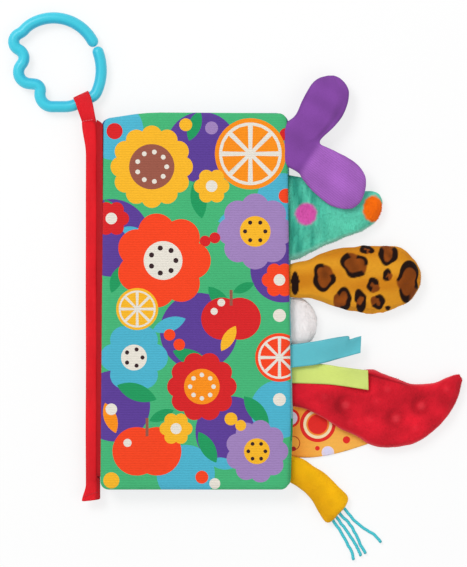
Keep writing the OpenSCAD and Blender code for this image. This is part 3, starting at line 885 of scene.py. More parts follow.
@dataclass
class GardenPrint:
    """The front cover's print: blooms, fruit, slices, leaves and berries."""

    blooms: tuple = (
        (-27, 84, 12, 19, 6.5, Ink.YELLOW, 14, Ink.BROWN, 9, 1.5, Ink.CREAM),
        (37, 44, 8, 15, 8.5, Ink.LILAC, 9.5, Ink.YELLOW, 6, 1.3, Ink.DARK),
        (-20, 26, 7, 18, 11.5, Ink.SCARLET, 12, Ink.CREAM, 7, 1.6, Ink.DARK),
        (-38, -34, 6, 12.5, 8.5, Ink.SKY, 8, Ink.CREAM, 5, 1.3, Ink.DARK),
        (4, -52, 10, 15, 6.5, Ink.CRIMSON, 11, Ink.ORANGE, 8, 1.4, Ink.CREAM),
        (38, -92, 9, 13, 6.5, Ink.LILAC, 8, Ink.YELLOW, 6, 1.2, Ink.DARK),
        (10, 72, 6, 6.5, 4.5, Ink.YELLOW, 3.6, Ink.CREAM, 0, 0, Ink.CREAM),
        (52, 14, 6, 6.5, 4.5, Ink.SCARLET, 3.6, Ink.CREAM, 0, 0, Ink.CREAM),
        (-52, 52, 6, 6.5, 4.5, Ink.CRIMSON, 3.6, Ink.CREAM, 0, 0, Ink.CREAM),
        (-12, -78, 6, 6, 4.2, Ink.YELLOW, 3.4, Ink.CREAM, 0, 0, Ink.CREAM),
    )
    slices: tuple = (
        (34, 92, 22, Ink.ORANGE), (-36, -4, 13, Ink.YELLOW), (52, -34, 15, Ink.SCARLET)
    )
    apples: tuple = ((22, -10, 13, Ink.CRIMSON), (-30, -92, 15, Ink.SCARLET))
    leaves: tuple = (
        (-4, 100, 70, 20, Ink.LEAF), (4, 52, 100, 24, Ink.LEAF), (14, 50, 20, 18, Ink.SKY),
        (-56, 64, -60, 20, Ink.LEAF), (8, 10, -50, 22, Ink.LEAF), (-6, -10, 200, 22, Ink.SKY),
        (-14, -30, -20, 24, Ink.LEAF), (16, -30, 60, 18, Ink.YELLOW), (30, -58, -50, 24, Ink.LEAF),
        (-24, -60, 160, 26, Ink.LEAF), (2, -80, -60, 22, Ink.LEAF), (8, -98, -10, 18, Ink.SKY),
        (-56, -62, -70, 20, Ink.ORANGE), (54, 70, -100, 22, Ink.SKY), (-46, 46, -20, 18, Ink.SKY),
        (-52, 6, 70, 18, Ink.LEAF),
    )
    berries: tuple = (
        (-50, 106, 5, Ink.CRIMSON), (-6, 110, 4, Ink.YELLOW), (56, 66, 4.5, Ink.SCARLET),
        (6, 38, 3.4, Ink.CRIMSON), (12, 40, 3.4, Ink.CRIMSON), (52, -8, 4, Ink.CREAM),
        (-10, -26, 3.6, Ink.SCARLET), (-16, -20, 3.6, Ink.SCARLET), (22, -72, 4, Ink.YELLOW),
        (28, -76, 3.4, Ink.YELLOW), (-52, -110, 5, Ink.YELLOW), (4, -108, 4, Ink.SCARLET),
        (12, -112, 3.4, Ink.CREAM), (-52, -66, 3.6, Ink.CREAM), (52, -60, 4, Ink.CREAM),
        (56, 104, 4, Ink.CRIMSON), (10, 108, 4, Ink.LILAC), (16, 0, 2.4, Ink.CREAM),
    )
    grounds: tuple = (
        (4, 96, 22, Ink.PURPLE), (-52, 40, 24, Ink.PURPLE), (54, 20, 20, Ink.PURPLE),
        (2, -18, 24, Ink.PURPLE), (-50, -64, 22, Ink.PURPLE), (22, -80, 22, Ink.PURPLE),
        (-50, 106, 18, Ink.SKY), (54, 64, 16, Ink.SKY), (52, -66, 18, Ink.SKY),
        (-6, -106, 18, Ink.SKY),
    )

    def leaf_shape(self, x: float, y: float, turn: float, length: float) -> Array:
        """A pointed leaf from its stalk at x, y."""
        r = length * 0.72
        drop = math.sqrt(r * r - length * length / 4)
        half = math.asin(length / 2 / r)
        a = np.linspace(-half, half, max(6, int(length / 1.6)))
        upper = np.column_stack([length / 2 + r * np.sin(a), r * np.cos(a) - drop])
        lower = np.column_stack([length / 2 - r * np.sin(a), drop - r * np.cos(a)])[1:-1]
        return turned(np.vstack([upper, lower]), x, y, turn)

    def bloom(self, b: tuple) -> list[Field]:
        """A flower: petals on a disc, a heart and seeds."""
        x, y, count, ring, petal, petal_ink, heart, heart_ink, seeds, seed, seed_ink = b
        angles = [2 * math.pi * i / count for i in range(count)]
        petals = [disc(x, y, ring)] + [
            disc(x + ring * math.cos(a), y + ring * math.sin(a), petal) for a in angles
        ]
        out = [petal_ink.field(*petals), heart_ink.field(disc(x, y, heart))]
        if seeds:
            turns = [2 * math.pi * i / seeds for i in range(seeds)]
            reach = heart * 0.66
            spots = [
                disc(x + reach * math.cos(a), y + reach * math.sin(a), seed, 14) for a in turns
            ]
            out.append(seed_ink.field(*spots))
        return out

    def slice(self, s: tuple) -> list[Field]:
        """A fruit slice: rind, pith and eight segments."""
        x, y, r, ink = s
        cut = np.array([[0.14 * r, 0], [0.76 * r, 0.24 * r], [0.8 * r, 0], [0.76 * r, -0.24 * r]])
        cuts = tuple(turned(cut, x, y, 360 * (i + 0.5) / 8) for i in range(8))
        return [ink.field(disc(x, y, r)), Ink.CREAM.field(disc(x, y, r * 0.88), holes=cuts)]

    def apple(self, p: tuple) -> list[Field]:
        """An apple with its stalk, leaf and shine."""
        x, y, s, ink = p
        stalk = np.array([[-0.8, s * 0.62], [1.0, s * 0.62], [1.0, s * 1.37], [-0.8, s * 1.37]])
        return [
            ink.field(disc(x - s * 0.42, y, s), disc(x + s * 0.42, y, s)),
            Ink.BROWN.field(stalk + [x, y]),
            Ink.LEAF.field(self.leaf_shape(x + s * 0.1, y + s * 1.25, 24, s * 1.1)),
            Ink.CREAM.field(disc(x - s * 0.8, y + s * 0.35, s * 0.17)),
        ]

    def fields(self) -> list[Field]:
        """All fields of the print."""
        out = [ink.field(disc(x, y, r)) for x, y, r, ink in self.grounds + self.berries]
        out += [ink.field(self.leaf_shape(*leaf)) for *leaf, ink in self.leaves]
        for motifs, draw in (
            (self.blooms, self.bloom), (self.slices, self.slice), (self.apples, self.apple)
        ):
            for motif in motifs:
                out += draw(motif)
        return out


def leaf_print() -> list[Field]:
    """A leaf's print: hills, a sun and clouds, in large plain fields."""
    rows = (
        ("#169A5C", ((-20, -130, 60), (60, -120, 48))),
        ("#42B576", ((30, -140, 62), (-62, -110, 34))),
        ("#F9B821", ((-18, 62, 19),)),
        (
            "#E8E2D6",
            ((22, 24, 10), (33, 27, 13), (45, 23, 9), (-44, -6, 8), (-35, -3, 11), (-25, -7, 8))
        ),
        ("#2C4E9A", ((52, 104, 15), (36, 112, 8))),
        ("#D81A1E", ((10, -64, 5), (-30, -66, 4), (38, -72, 4.5))),
    )
    return [
        Field(rank, code, tuple(disc(*d) for d in discs)) for rank, (code, discs) in enumerate(rows)
    ]


@dataclass
class PaddedPanel:
    """A padded leaf or cover: two cloth faces sewn together round their rim."""

    name: str
    body: str
    nodes: tuple
    slot: str
    mid_z: float
    outline: Array
    fields: list = field(default_factory=list)
    ground: str = Ink.GREEN.value
    under: str = "#7FC4CC"
    half_t: float = PANEL_T / 2
    edge_run: float = 6.0
    grid: float = 1.8
    swell: float = 0.25
    seed: int = 1
    fill: float = 0.5

    def sheet(self, loops: list, step: float) -> tuple[Array, list]:
        """Triangles that follow closed outlines, filled with an even grid.

        Args:
            loops: closed outlines; the first is the rim.
            step: distance of the grid's points, in millimetres.

        Returns:
            The points in the plane and the triangles inside the rim.
        """
        rim = loops[0]
        points, edges = [], []
        for loop in loops:
            start = len(points)
            points += [Vector(p) for p in loop]
            edges += [(start + i, start + (i + 1) % len(loop)) for i in range(len(loop))]
        low, high = rim.min(0), rim.max(0)
        xs = np.arange(low[0] + step / 2, high[0], step)
        ys = np.arange(low[1] + step / 2, high[1], step)
        gx, gy = np.meshgrid(xs, ys)
        gx = gx + (np.arange(len(ys)) % 2)[:, None] * step / 2
        grid = np.column_stack([gx.ravel(), gy.ravel()])
        grid = grid[inside(grid, rim)]
        grid = grid[rim_distance(grid, rim) > step * 0.4]
        for inset in (0.35, 1.0, 2.0):
            points += [Vector(p) for p in rim + self.inward(rim) * inset]
        points += [Vector(p) for p in grid]
        made = delaunay_2d_cdt(points, edges, [], 0, 1e-4, False)
        flat = np.array([tuple(v) for v in made[0]])
        faces = np.array([tuple(f) for f in made[2]])
        centres = flat[faces].mean(1)
        used, numbers = np.unique(faces[inside(centres, rim)], return_inverse=True)
        return flat[used], [tuple(f) for f in numbers.reshape(-1, 3).tolist()]

    def inward(self, rim: Array) -> Array:
        """The direction into the panel at each corner of its rim."""
        way = unit(np.roll(rim, -1, 0) - np.roll(rim, 1, 0))
        return np.column_stack([-way[:, 1], way[:, 0]])

    def dense_rim(self) -> Array:
        """The rim with sides no longer than two millimetres."""
        out = []
        for a, b in zip(self.outline, np.roll(self.outline, -1, 0)):
            n = max(1, int(np.linalg.norm(b - a) / 2.0))
            out += [a + (b - a) * k / n for k in range(n)]
        return np.array(out)

    def heights(self, flat: Array, rim: Array, side: int) -> Array:
        """Height of one face over the floor: a pillow edge and a soft uneven fill."""
        d = rim_distance(flat, rim)
        t = 1 - np.clip(d / self.edge_run, 0, 1)
        pillow = (1 - t**2.6) ** (1 / 2.2)
        fillings = self.swell * ripple(flat, FILL_SIZE, self.seed) * smoothstep(0, FILL_START, d)
        near_seam = np.exp(-((d - PUCKER_AT) ** 2) / PUCKER_SPREAD)
        puckers = PUCKER_HEIGHT * ripple(flat, PUCKER_SIZE, self.seed + 5) * near_seam
        share = 1.0 if side > 0 else UNDERSIDE_SHARE
        return self.mid_z + side * (self.half_t * pillow + (fillings + puckers) * share)

    def build(self, finish: Finish) -> bpy.types.Object:
        """Makes and dresses the panel.

        Args:
            finish: the cloth of both faces.

        Returns:
            The panel's object.
        """
        rim = self.dense_rim()
        loops = [rim] + [o for f in self.fields for o in (*f.outlines, *f.holes)]
        flat, faces = self.sheet(loops, self.grid)
        d = rim_distance(flat, rim)
        edge = flat[d < 1e-3]
        order = np.argsort(np.arctan2(edge[:, 1], edge[:, 0]))
        under_flat, under_faces = self.sheet([edge[order]], self.grid * 1.6)
        upper = np.column_stack([flat, self.heights(flat, rim, 1)])
        lower = np.column_stack([under_flat, self.heights(under_flat, rim, -1)])
        shift = len(upper)
        points = np.vstack([upper, lower])
        all_faces = faces + [tuple(i + shift for i in f[::-1]) for f in under_faces]
        centres = flat[np.array(faces)].mean(1)
        colours = np.tile(linear(self.ground), (len(faces), 1))
        best = np.full(len(faces), -1)
        for f in self.fields:
            hit = f.covers(centres) & (best < f.rank)
            colours[hit] = linear(f.colour)
            best[hit] = f.rank
        colours = np.vstack([colours, np.tile(linear(self.under), (len(under_faces), 1))])
        obj = Maker.mesh(self.name, points * MM, all_faces)
        Maker.tint(obj, np.repeat(colours, 3, axis=0), "CORNER")
        Maker.lay_uv(obj, points[:, :2] * MM)
        Maker.tidy(obj, 2e-6)
        Maker.dress(obj, finish, self.slot, self.body, self.nodes)
        return obj


@dataclass
class SoftTail:
    """A stuffed tail sewn from two pieces of plush."""

    name: str
    body: str
    nodes: tuple
    slot: str
    far: list
    near: list
    heights: list
    halves: list
    thickness: float
    finish: Finish
    colour: str = "#FFF9F9"
    step: float = 1.3
    tip_round: float = 4.0
    root_round: float = 1.6
    puff: float = 2.5
    pressure: float = 4.0
    pile_count: int = 0
    pile_length: float = 1.4
    pile_width: float = 0.16
    pile_lean: tuple = (1.0, 0.0)
    fill: float = 0.7
    bulge: float = 0.575
    ruffle: float = 0.18
    seed: int = 3

    def grid(self) -> tuple[Array, list, Array]:
        """Two faces that meet in a seam all round.

        Returns:
            Points in millimetres, faces, and each point's place along and across in metres.
        """
        probe = np.linspace(0, 1, 60)
        middle = (along(self.far, probe) + along(self.near, probe)) / 2
        length = np.linalg.norm(np.diff(middle, axis=0), axis=1).sum()
        width = np.linalg.norm(along(self.far, probe) - along(self.near, probe), axis=1).max()
        n, m = max(14, int(length / self.step)), max(12, int(width / self.step))
        m += m % 2
        u = np.linspace(0, 1, n + 1)
        v = np.sin(np.linspace(-1, 1, m + 1) * math.pi / 2)
        far, near = along(self.far, u), along(self.near, u)
        z = along(self.heights, u)[:, 0]
        half = along(self.halves, u)[:, 0] * self.thickness / 2
        s = u * length
        ends = np.sqrt(np.clip(1 - (1 - np.clip(s / self.root_round, 0, 1)) ** 2, 0, 1))
        ends *= np.sqrt(np.clip(1 - (1 - np.clip((length - s) / self.tip_round, 0, 1)) ** 2, 0, 1))
        rise = half[:, None] * ends[:, None] * np.clip(1 - v[None, :] ** 2, 0, 1) ** self.bulge
        plan = (far + near)[:, None, :] / 2 + (near - far)[:, None, :] / 2 * v[None, :, None]
        number = np.zeros((2, n + 1, m + 1), int)
        points, lay = [], []
        for side in (0, 1):
            for k in range(n + 1):
                for j in range(m + 1):
                    rim = k in (0, n) or j in (0, m)
                    if side and rim:
                        number[1, k, j] = number[0, k, j]
                        continue
                    number[side, k, j] = len(points)
                    points.append((*plan[k, j], z[k] + (1 - 2 * side) * rise[k, j]))
                    lay.append((s[k] * MM, v[j] * width / 2 * MM))
        faces = []
        for side in (0, 1):
            g = number[side]
            for k in range(n):
                for j in range(m):
                    quad = (g[k, j], g[k, j + 1], g[k + 1, j + 1], g[k + 1, j])
                    faces.append(quad if side else quad[::-1])
        return np.array(points), faces, np.array(lay)

    def inflate(self, obj: bpy.types.Object, cap: float) -> None:
        """Blows the tail up as cloth under pressure, so that its faces swell and its seams pull in.

        Args:
            obj: the tail, built a little flat.
            cap: how far a point may move, in metres.
        """
        zoom = CLOTH_ZOOM
        start = Maker.points(obj)
        centre = start.mean(0)
        Maker.place(obj, (start - centre) * zoom)
        Maker.pick(obj)
        seam = obj.vertex_groups.new(name="seam")
        root = np.where(Maker.uv_at_points(obj)[:, 0] < self.step * 0.6 * MM)[0]
        seam.add(root.tolist(), 1.0, "REPLACE")
        cloth = obj.modifiers.new("stuffing", "CLOTH")
        settings = cloth.settings
        settings.vertex_group_mass = "seam"
        settings.quality = 5
        settings.mass = 0.15
        settings.tension_stiffness = settings.compression_stiffness = 20
        settings.shear_stiffness = 8
        settings.bending_stiffness = 0.6
        settings.use_pressure = True
        settings.uniform_pressure_force = self.pressure
        settings.effector_weights.gravity = 0
        cloth.point_cache.frame_start, cloth.point_cache.frame_end = 1, 20
        for frame in range(1, CLOTH_FRAMES + 1):
            bpy.context.scene.frame_set(frame)
        blown = obj.evaluated_get(bpy.context.evaluated_depsgraph_get()).to_mesh()
        co = np.zeros(len(blown.vertices) * 3)
        blown.vertices.foreach_get("co", co)
        obj.modifiers.remove(cloth)
        bpy.context.scene.frame_set(1)
        move = co.reshape(-1, 3) / zoom + centre - start
        x, y = (start[:, :2] - centre[:2]).T / TAIL_SPAN
        plan = np.column_stack([
            np.ones(len(x)), x, y, x * x, x * y, y * y, x**3, x * x * y, x * y * y, y**3
        ])
        move[:, :2] -= plan @ np.linalg.lstsq(plan, move[:, :2], rcond=None)[0]
        move[:, :2] *= min(1, PLAN_CAP * MM / np.abs(move[:, :2]).max())
        size = np.linalg.norm(move, axis=1)
        log.info("%s: cloth moved %.2f mm at most", self.name, size.max() / MM)
        move *= np.minimum(1, cap / np.maximum(size, 1e-9))[:, None]
        Maker.place(obj, start + move)

    def shape(self, points: Array, upper: Array) -> Array:
        """Height that is added to each point, in millimetres: creases, dots and grooves."""
        return 0.22 * ripple(points, 13.0, self.seed) + 0.08 * ripple(points, 5.0, self.seed + 1)

    def paint(self, points: Array, lay: Array) -> Array:
        """Linear colour of each point."""
        return np.tile(linear(self.colour), (len(points), 1))

    def share(self, points: Array) -> Array | float:
        """How much of the finish's second pattern each point shows."""
        return 1.0

    def pile(self, obj: bpy.types.Object, colours: Array) -> None:
        """Adds short tufts that lean one way.

        Args:
            obj: the tail, in its last shape.
            colours: colour of each of its points.
        """
        mesh = obj.data
        mesh.calc_loop_triangles()
        tris = np.zeros(len(mesh.loop_triangles) * 3, np.int32)
        mesh.loop_triangles.foreach_get("vertices", tris)
        tris = tris.reshape(-1, 3)
        points, normals = Maker.points(obj), Maker.normals(obj)
        a, b, c = points[tris[:, 0]], points[tris[:, 1]], points[tris[:, 2]]
        area = np.linalg.norm(np.cross(b - a, c - a), axis=1)
        rng = np.random.default_rng(self.seed)
        chosen = rng.choice(len(tris), self.pile_count, p=area / area.sum())
        w = rng.dirichlet((1, 1, 1), self.pile_count)[:, :, None]
        root = (points[tris[chosen]] * w).sum(1)
        normal = unit((normals[tris[chosen]] * w).sum(1))
        colour = (colours[tris[chosen]] * w).sum(1) * rng.uniform(0.94, 1.08, (self.pile_count, 1))
        lean = np.array([*self.pile_lean, 0.0])
        way = unit(
            normal * TUFT_STAND + lean * TUFT_LEAN
            + rng.normal(size=(self.pile_count, 3)) * self.ruffle
        )
        side = np.cross(way, normal)
        side /= np.maximum(np.linalg.norm(side, axis=1), 1e-9)[:, None]
        long = self.pile_length * MM * rng.uniform(0.6, 1.25, (self.pile_count, 1))
        wide = self.pile_width * MM
        sunk = root - normal * TUFT_ROOT * MM
        tip = root + way * long
        tufts = np.stack(
            [sunk + side * wide, sunk - side * wide, sunk + np.cross(side, way) * wide, tip], 1
        ).reshape(-1, 3)
        tufts[:, 2] = np.maximum(tufts[:, 2], TUFT_FLOOR * MM)
        base = np.arange(self.pile_count)[:, None] * 4
        quads = [(0, 1, 3), (1, 2, 3), (2, 0, 3), (0, 2, 1)]
        faces = np.concatenate([base + np.array(q) for q in quads])
        fur = Maker.mesh(self.name + "_tufts", tufts, faces.tolist())
        tones = np.repeat(colour, 4, axis=0)
        # Painted highlight: each tuft's tip is a little lighter than its root.
        tones[3::4] *= 1.06
        Maker.tint(fur, tones)
        lay = Maker.uv_at_points(obj)
        Maker.lay_uv(fur, np.repeat((lay[tris[chosen]] * w).sum(1), 4, axis=0))
        Maker.pick(obj)
        fur.select_set(True)
        bpy.ops.object.join()

    def build(self) -> bpy.types.Object:
        """Makes, stuffs, paints and dresses the tail."""
        points, faces, lay = self.grid()
        obj = Maker.mesh(self.name, points * MM, faces)
        Maker.lay_uv(obj, lay)
        Maker.tidy(obj)
        self.inflate(obj, self.puff * MM)
        Maker.subdivide(obj)
        places, normals = Maker.points(obj), Maker.normals(obj)
        lay = Maker.uv_at_points(obj)
        places = places + normals * self.shape(places / MM, normals[:, 2] > 0)[:, None] * MM
        places[:, 2] = np.maximum(places[:, 2], TAIL_FLOOR * MM)
        Maker.place(obj, places)
        colours = self.paint(places / MM, lay / MM)
        Maker.tint(obj, colours, share=self.share(places / MM))
        if self.pile_count:
            self.pile(obj, colours)
        Maker.dress(obj, self.finish, self.slot, self.body, self.nodes)
        return obj


class FlukeTail(SoftTail):
    """Two-lobed velour tail with ribs along its lower lobe."""

    # A point on the line between the lobes, the way across it, and where the lower lobe ends
    SEAM_AT, SEAM_WAY = (66.0, 82.0), (0.84, 0.55)
    LOWER_END, LOWER_FULL = 104.0, 97.0

    @staticmethod
    def seam(points: Array) -> Array:
        """Distance of each point from the line between the lobes, in millimetres."""
        (x, y), (a, b) = FlukeTail.SEAM_AT, FlukeTail.SEAM_WAY
        return a * (points[:, 0] - x) - b * (points[:, 1] - y)

    @staticmethod
    def lower(points: Array) -> Array:
        """How far each point belongs to the lower lobe, from 0 to 1."""
        across = smoothstep(-3.0, 3.0, FlukeTail.seam(points) - 0.6)
        return across * smoothstep(FlukeTail.LOWER_END, FlukeTail.LOWER_FULL, points[:, 1])

    def shape(self, points: Array, upper: Array) -> Array:
        """Soft creases, with a dip between the lobes."""
        dip = self.seam(points) / 2.2
        return super().shape(points, upper) * 0.5 - 0.5 * np.exp(-(dip**2))

    def share(self, points: Array) -> Array:
        """Ribs on the lower lobe only."""
        return 0.12 + 0.88 * self.lower(points)

    def paint(self, points: Array, lay: Array) -> Array:
        """Darker upper lobe and root, lighter lower lobe, both with painted shade at the seam where
        the edge rolls under.
        """
        dark, light = linear("#7D4499"), linear("#A664BF")
        # Painted shade: darker beside the seam, where the edge rolls under.
        rim = beside_seam(lay, 0.82)
        base = dark + (light - dark) * self.lower(points)[:, None]
        return base * (1 + 0.07 * ripple(points, 16, 5) - 0.16 * rim)[:, None]


class GreenTail(SoftTail):
    """Plush tail with a pink and an orange spot."""

    # Each spot: centre, width as a share of its height, half height and colour
    SPOTS = ((68.6, 54.8, 1.0, 6.7, "#DC58B0"), (110.2, 58.2, 0.76, 8.1, "#FF7408"))
    SOFT_EDGE = 0.9

    def paint(self, points: Array, lay: Array) -> Array:
        """Streaky green, with a painted sheen that makes it pale at its lower edge, and two
        soft-edged spots.
        """
        base, pale = linear("#62D4B6"), linear("#B4EEDC")
        fine = ripple(points * [1.0, 0.12, 0.2], 1.9, 4)
        coarse = ripple(points * [1, 0.25, 0.2], 6.0, 5)
        root = np.clip(smoothstep(26, 1, lay[:, 0]) * (0.6 + 0.34 * fine + 0.2 * coarse), 0, 1)
        # Painted sheen: pale along the lower edge.
        rim = smoothstep(0.8, 1.0, lay[:, 1] / max(lay[:, 1].max(), 1e-6)) * 0.6
        out = base * (1 - 0.5 * root)[:, None] * (1 + 0.06 * ripple(points, 15, 7))[:, None]
        out[:, 0] *= 1 - 0.5 * root
        out = mixed(out, pale, rim)
        wobble = 0.3 * ripple(points, 4, 8)
        for x, y, narrow, radius, code in self.SPOTS:
            away = np.hypot((points[:, 0] - x) / narrow, points[:, 1] - y) + wobble
            out = mixed(
                out, linear(code),
                smoothstep(radius + self.SOFT_EDGE, radius - self.SOFT_EDGE, away)
            )
        return out


class LeopardTail(SoftTail):
    """Plush tail with broken dark rosettes on gold."""

    # Each rosette: centre, half sizes, lean, and the middles and half widths of its openings
    ROSETTES = (
        (61.7, 12.1, 2.6, 7.4, 0, ()),
        (79.5, 15.6, 6.9, 8.8, 0, ((55, 34),)),
        (91.0, 1.9, 5.8, 7.2, -12, ((205, 62),)),
        (98.5, 23.3, 9.0, 7.4, -32, ((128, 20), (12, 18))),
        (102.2, 1.4, 3.6, 7.4, 8, ((-150, 12),)),
        (106.0, 32.9, 4.6, 2.9, -10, ((-60, 20),)),
        (110.2, 10.5, 4.0, 5.0, 10, ((-60, 60),)),
        (112.9, 0.5, 4.7, 4.6, 0, ((165, 50),)),
        (119.3, 29.7, 6.2, 6.4, 0, ((92, 38),)),
        (119.0, 16.9, 3.1, 3.9, 0, ((-20, 55),)),
        (131.6, 13.1, 6.6, 13.4, -4, ((205, 22), (-58, 20))),
        (119.3, -3.4, 1.7, 1.5, 0, ()),
    )
    RING_WIDE = 2.9

    def paint(self, points: Array, lay: Array) -> Array:
        """Gold, with rosettes that follow no row."""
        gold, deep = linear("#E09A24"), linear("#CC8016")
        brown, dark = linear("#84400E"), linear("#1E0D08")
        out = mixed(deep, gold, np.clip(0.5 + 0.5 * ripple(points * [0.5, 1.4, 1], 16, 2), 0, 1))
        for i, (x, y, rx, ry, lean, openings) in enumerate(self.ROSETTES):
            a = math.radians(lean)
            dx = (points[:, 0] - x) * math.cos(a) + (points[:, 1] - y) * math.sin(a)
            dy = (points[:, 1] - y) * math.cos(a) - (points[:, 0] - x) * math.sin(a)
            angle = np.arctan2(dy, dx)
            wave = 1 + 0.07 * np.sin(3 * angle + i * 1.7) + 0.05 * np.sin(5 * angle + i * 2.9)
            r = np.hypot(dx / rx, dy / ry) / wave
            band = self.RING_WIDE / math.sqrt(rx * ry)
            soft = 0.35 / math.sqrt(rx * ry)
            closed = np.ones(len(points))
            for middle, half in openings:
                away = np.abs((np.degrees(angle) - middle + 180) % 360 - 180)
                closed = np.minimum(closed, smoothstep(half - 7, half + 7, away))
            body = smoothstep(1 + soft, 1 - soft, r) * np.maximum(closed, smoothstep(1.0, 0.86, r))
            inner = 1 - band * (1.0 + 0.25 * np.sin(2 * angle + i))
            ring = smoothstep(inner - soft, inner + soft, r) * closed if openings else closed
            centre = brown * (1 + 0.15 * ripple(points, 7, i))[:, None]
            out = mixed(out, mixed(centre, dark, ring), body)
        return out


class RedTail(SoftTail):
    """Plush tail with a seam groove and raised dots."""

    DOTS = (
        (93.1, -63.6, 3.5, 1.0), (124.3, -71.9, 3.6, 1.0), (140.0, -64.1, 3.5, 1.0),
        (119.0, -53.8, 3.0, 0.45), (155.6, -53.8, 2.6, 0.4), (108.0, -72.5, 3.0, 0.3),
        (80.0, -58.5, 2.8, 0.3), (112.0, -61.0, 2.8, 0.3), (136.0, -78.0, 3.0, 0.25),
        (96.0, -74.5, 2.8, 0.2),
    )
    GROOVE = ((104.0, -44.2), (109.0, -45.0), (114.6, -46.7), (124.0, -49.2), (131.0, -51.0))

    def groove(self, points: Array) -> Array:
        """How near each point lies to the seam, from 0 to 1."""
        return np.exp(-((line_distance(points[:, :2], np.array(self.GROOVE)) / 0.55) ** 2))

    def shape(self, points: Array, upper: Array) -> Array:
        """Raised dots in shallow dimples, and a groove inside the far edge."""
        out = super().shape(points, upper) - 0.4 * self.groove(points) * upper
        for x, y, r, depth in self.DOTS:
            d = np.hypot(points[:, 0] - x, points[:, 1] - y) / r
            out = out + depth * (
                0.45 * smoothstep(1.2, 0.1, d) - 0.4 * np.exp(-((d - 1.5) ** 2) / 0.3)
            )
        return out

    def paint(self, points: Array, lay: Array) -> Array:
        """Red with darker clouds; painted shade in the groove and on one side of each dimple;
        painted highlights on the dots and a painted sheen at the rim.
        """
        base, pale = linear("#D81C2E"), linear("#F0606A")
        # Painted sheen: paler towards the rim.
        rim = beside_seam(lay, 0.9) * 0.5
        cloud = 0.13 * ripple(points, 17, 6) + 0.07 * ripple(points, 7, 9)
        # Painted shade: darker in the seam groove.
        out = base * (1 + cloud - 0.4 * self.groove(points))[:, None]
        out = mixed(out, pale, rim)
        for x, y, r, depth in self.DOTS:
            d = np.hypot(points[:, 0] - x, points[:, 1] - y) / r
            # Painted shade on the side of each dimple away from the light, and a painted highlight
            # on each dot's top.
            side = 0.6 - 0.4 * (points[:, 0] - x - 0.4 * (points[:, 1] - y)) / (d * r + 0.5)
            dimple_shade, dot_highlight = np.exp(-((d - 1.4) ** 2) / 0.45), smoothstep(1.1, 0.1, d)
            out = out * (1 - depth * (0.3 * side * dimple_shade - 0.12 * dot_highlight))[:, None]
            # Painted highlight: the dots' tops are paler.
            out[:, 1:] += depth * 0.02 * smoothstep(1.0, 0.2, d)[:, None]
        return out


class YellowTail(SoftTail):
    """Flat short-pile tail that carries the strings."""

    def paint(self, points: Array, lay: Array) -> Array:
        """Yellow, darker towards its lower side."""
        out = mixed(linear("#F6B80C"), linear("#E3A40A"), smoothstep(-6, 8, lay[:, 1]))
        return out * (1 + 0.05 * ripple(points, 9, 3))[:, None]


@dataclass
class Ribbon:
    """A satin ribbon folded double, sewn in at both ends."""

    node: str
    far: list
    near: list
    heights: list
    colour: str
    flat: tuple
    layer_gap: float = 0.36
    cloth: float = 0.3
    seed: int = 2

    def build(self) -> bpy.types.Object:
        """Makes the strip out and back, gives it its thickness and dresses it."""
        n, m = 44, 12
        u = np.concatenate([np.linspace(0, 1, n), np.full(5, 1.0), np.linspace(1, 0, n)])
        turn = np.concatenate([np.full(n, 90.0), np.linspace(60, -60, 5), np.full(n, -90.0)])
        v = np.linspace(-1, 1, m + 1)
        far, near, z = along(self.far, u), along(self.near, u), along(self.heights, u)[:, 0]
        far_end, near_end = np.array(self.far[-2:], float), np.array(self.near[-2:], float)
        way = far_end[1] + near_end[1] - far_end[0] - near_end[0]
        way /= np.linalg.norm(way)
        points, lay = [], []
        run = 0.0
        for k in range(len(u)):
            a = math.radians(turn[k])
            if k:
                step = (far[k] + near[k] - far[k - 1] - near[k - 1]) / 2
                run += np.linalg.norm(step) + (0.2 if u[k] == u[k - 1] else 0)
            for q in v:
                plan = (far[k] + near[k]) / 2 + (near[k] - far[k]) / 2 * q
                plan = plan + way * self.layer_gap * math.cos(a)
                wave = 0.35 * ripple(np.array([[*plan]]), 18.0, self.seed)[0] * min(1, u[k] * 6)
                wave += 0.25 * (abs(q) ** 4) * math.sin(u[k] * 9 + q)
                points.append((*plan, z[k] + self.layer_gap * math.sin(a) + wave))
                lay.append((run * MM, q * np.linalg.norm(near[k] - far[k]) / 2 * MM))
        faces = strip_faces(len(u), m + 1)
        obj = Maker.mesh(self.node + "_satin", np.array(points) * MM, faces)
        lay = np.array(lay)
        Maker.lay_uv(obj, lay)
        edge = np.abs(lay[:, 1]) / np.abs(lay[:, 1]).max()
        tone = (1 - 0.12 * smoothstep(0.9, 1.0, edge)) * (
            1 + 0.06 * ripple(np.array(points), 22, self.seed)
        )
        Maker.tint(obj, linear(self.colour) * tone[:, None])
        Maker.solidify(obj, self.cloth * MM)
        satin = TapeFinish(
            "satin_" + self.node, pitch=0.0005, depth=0.00006, roughness=0.42, gleam=0.5
        )
        Maker.dress(obj, satin, self.node, BLOCK, (self.node,))
        return obj


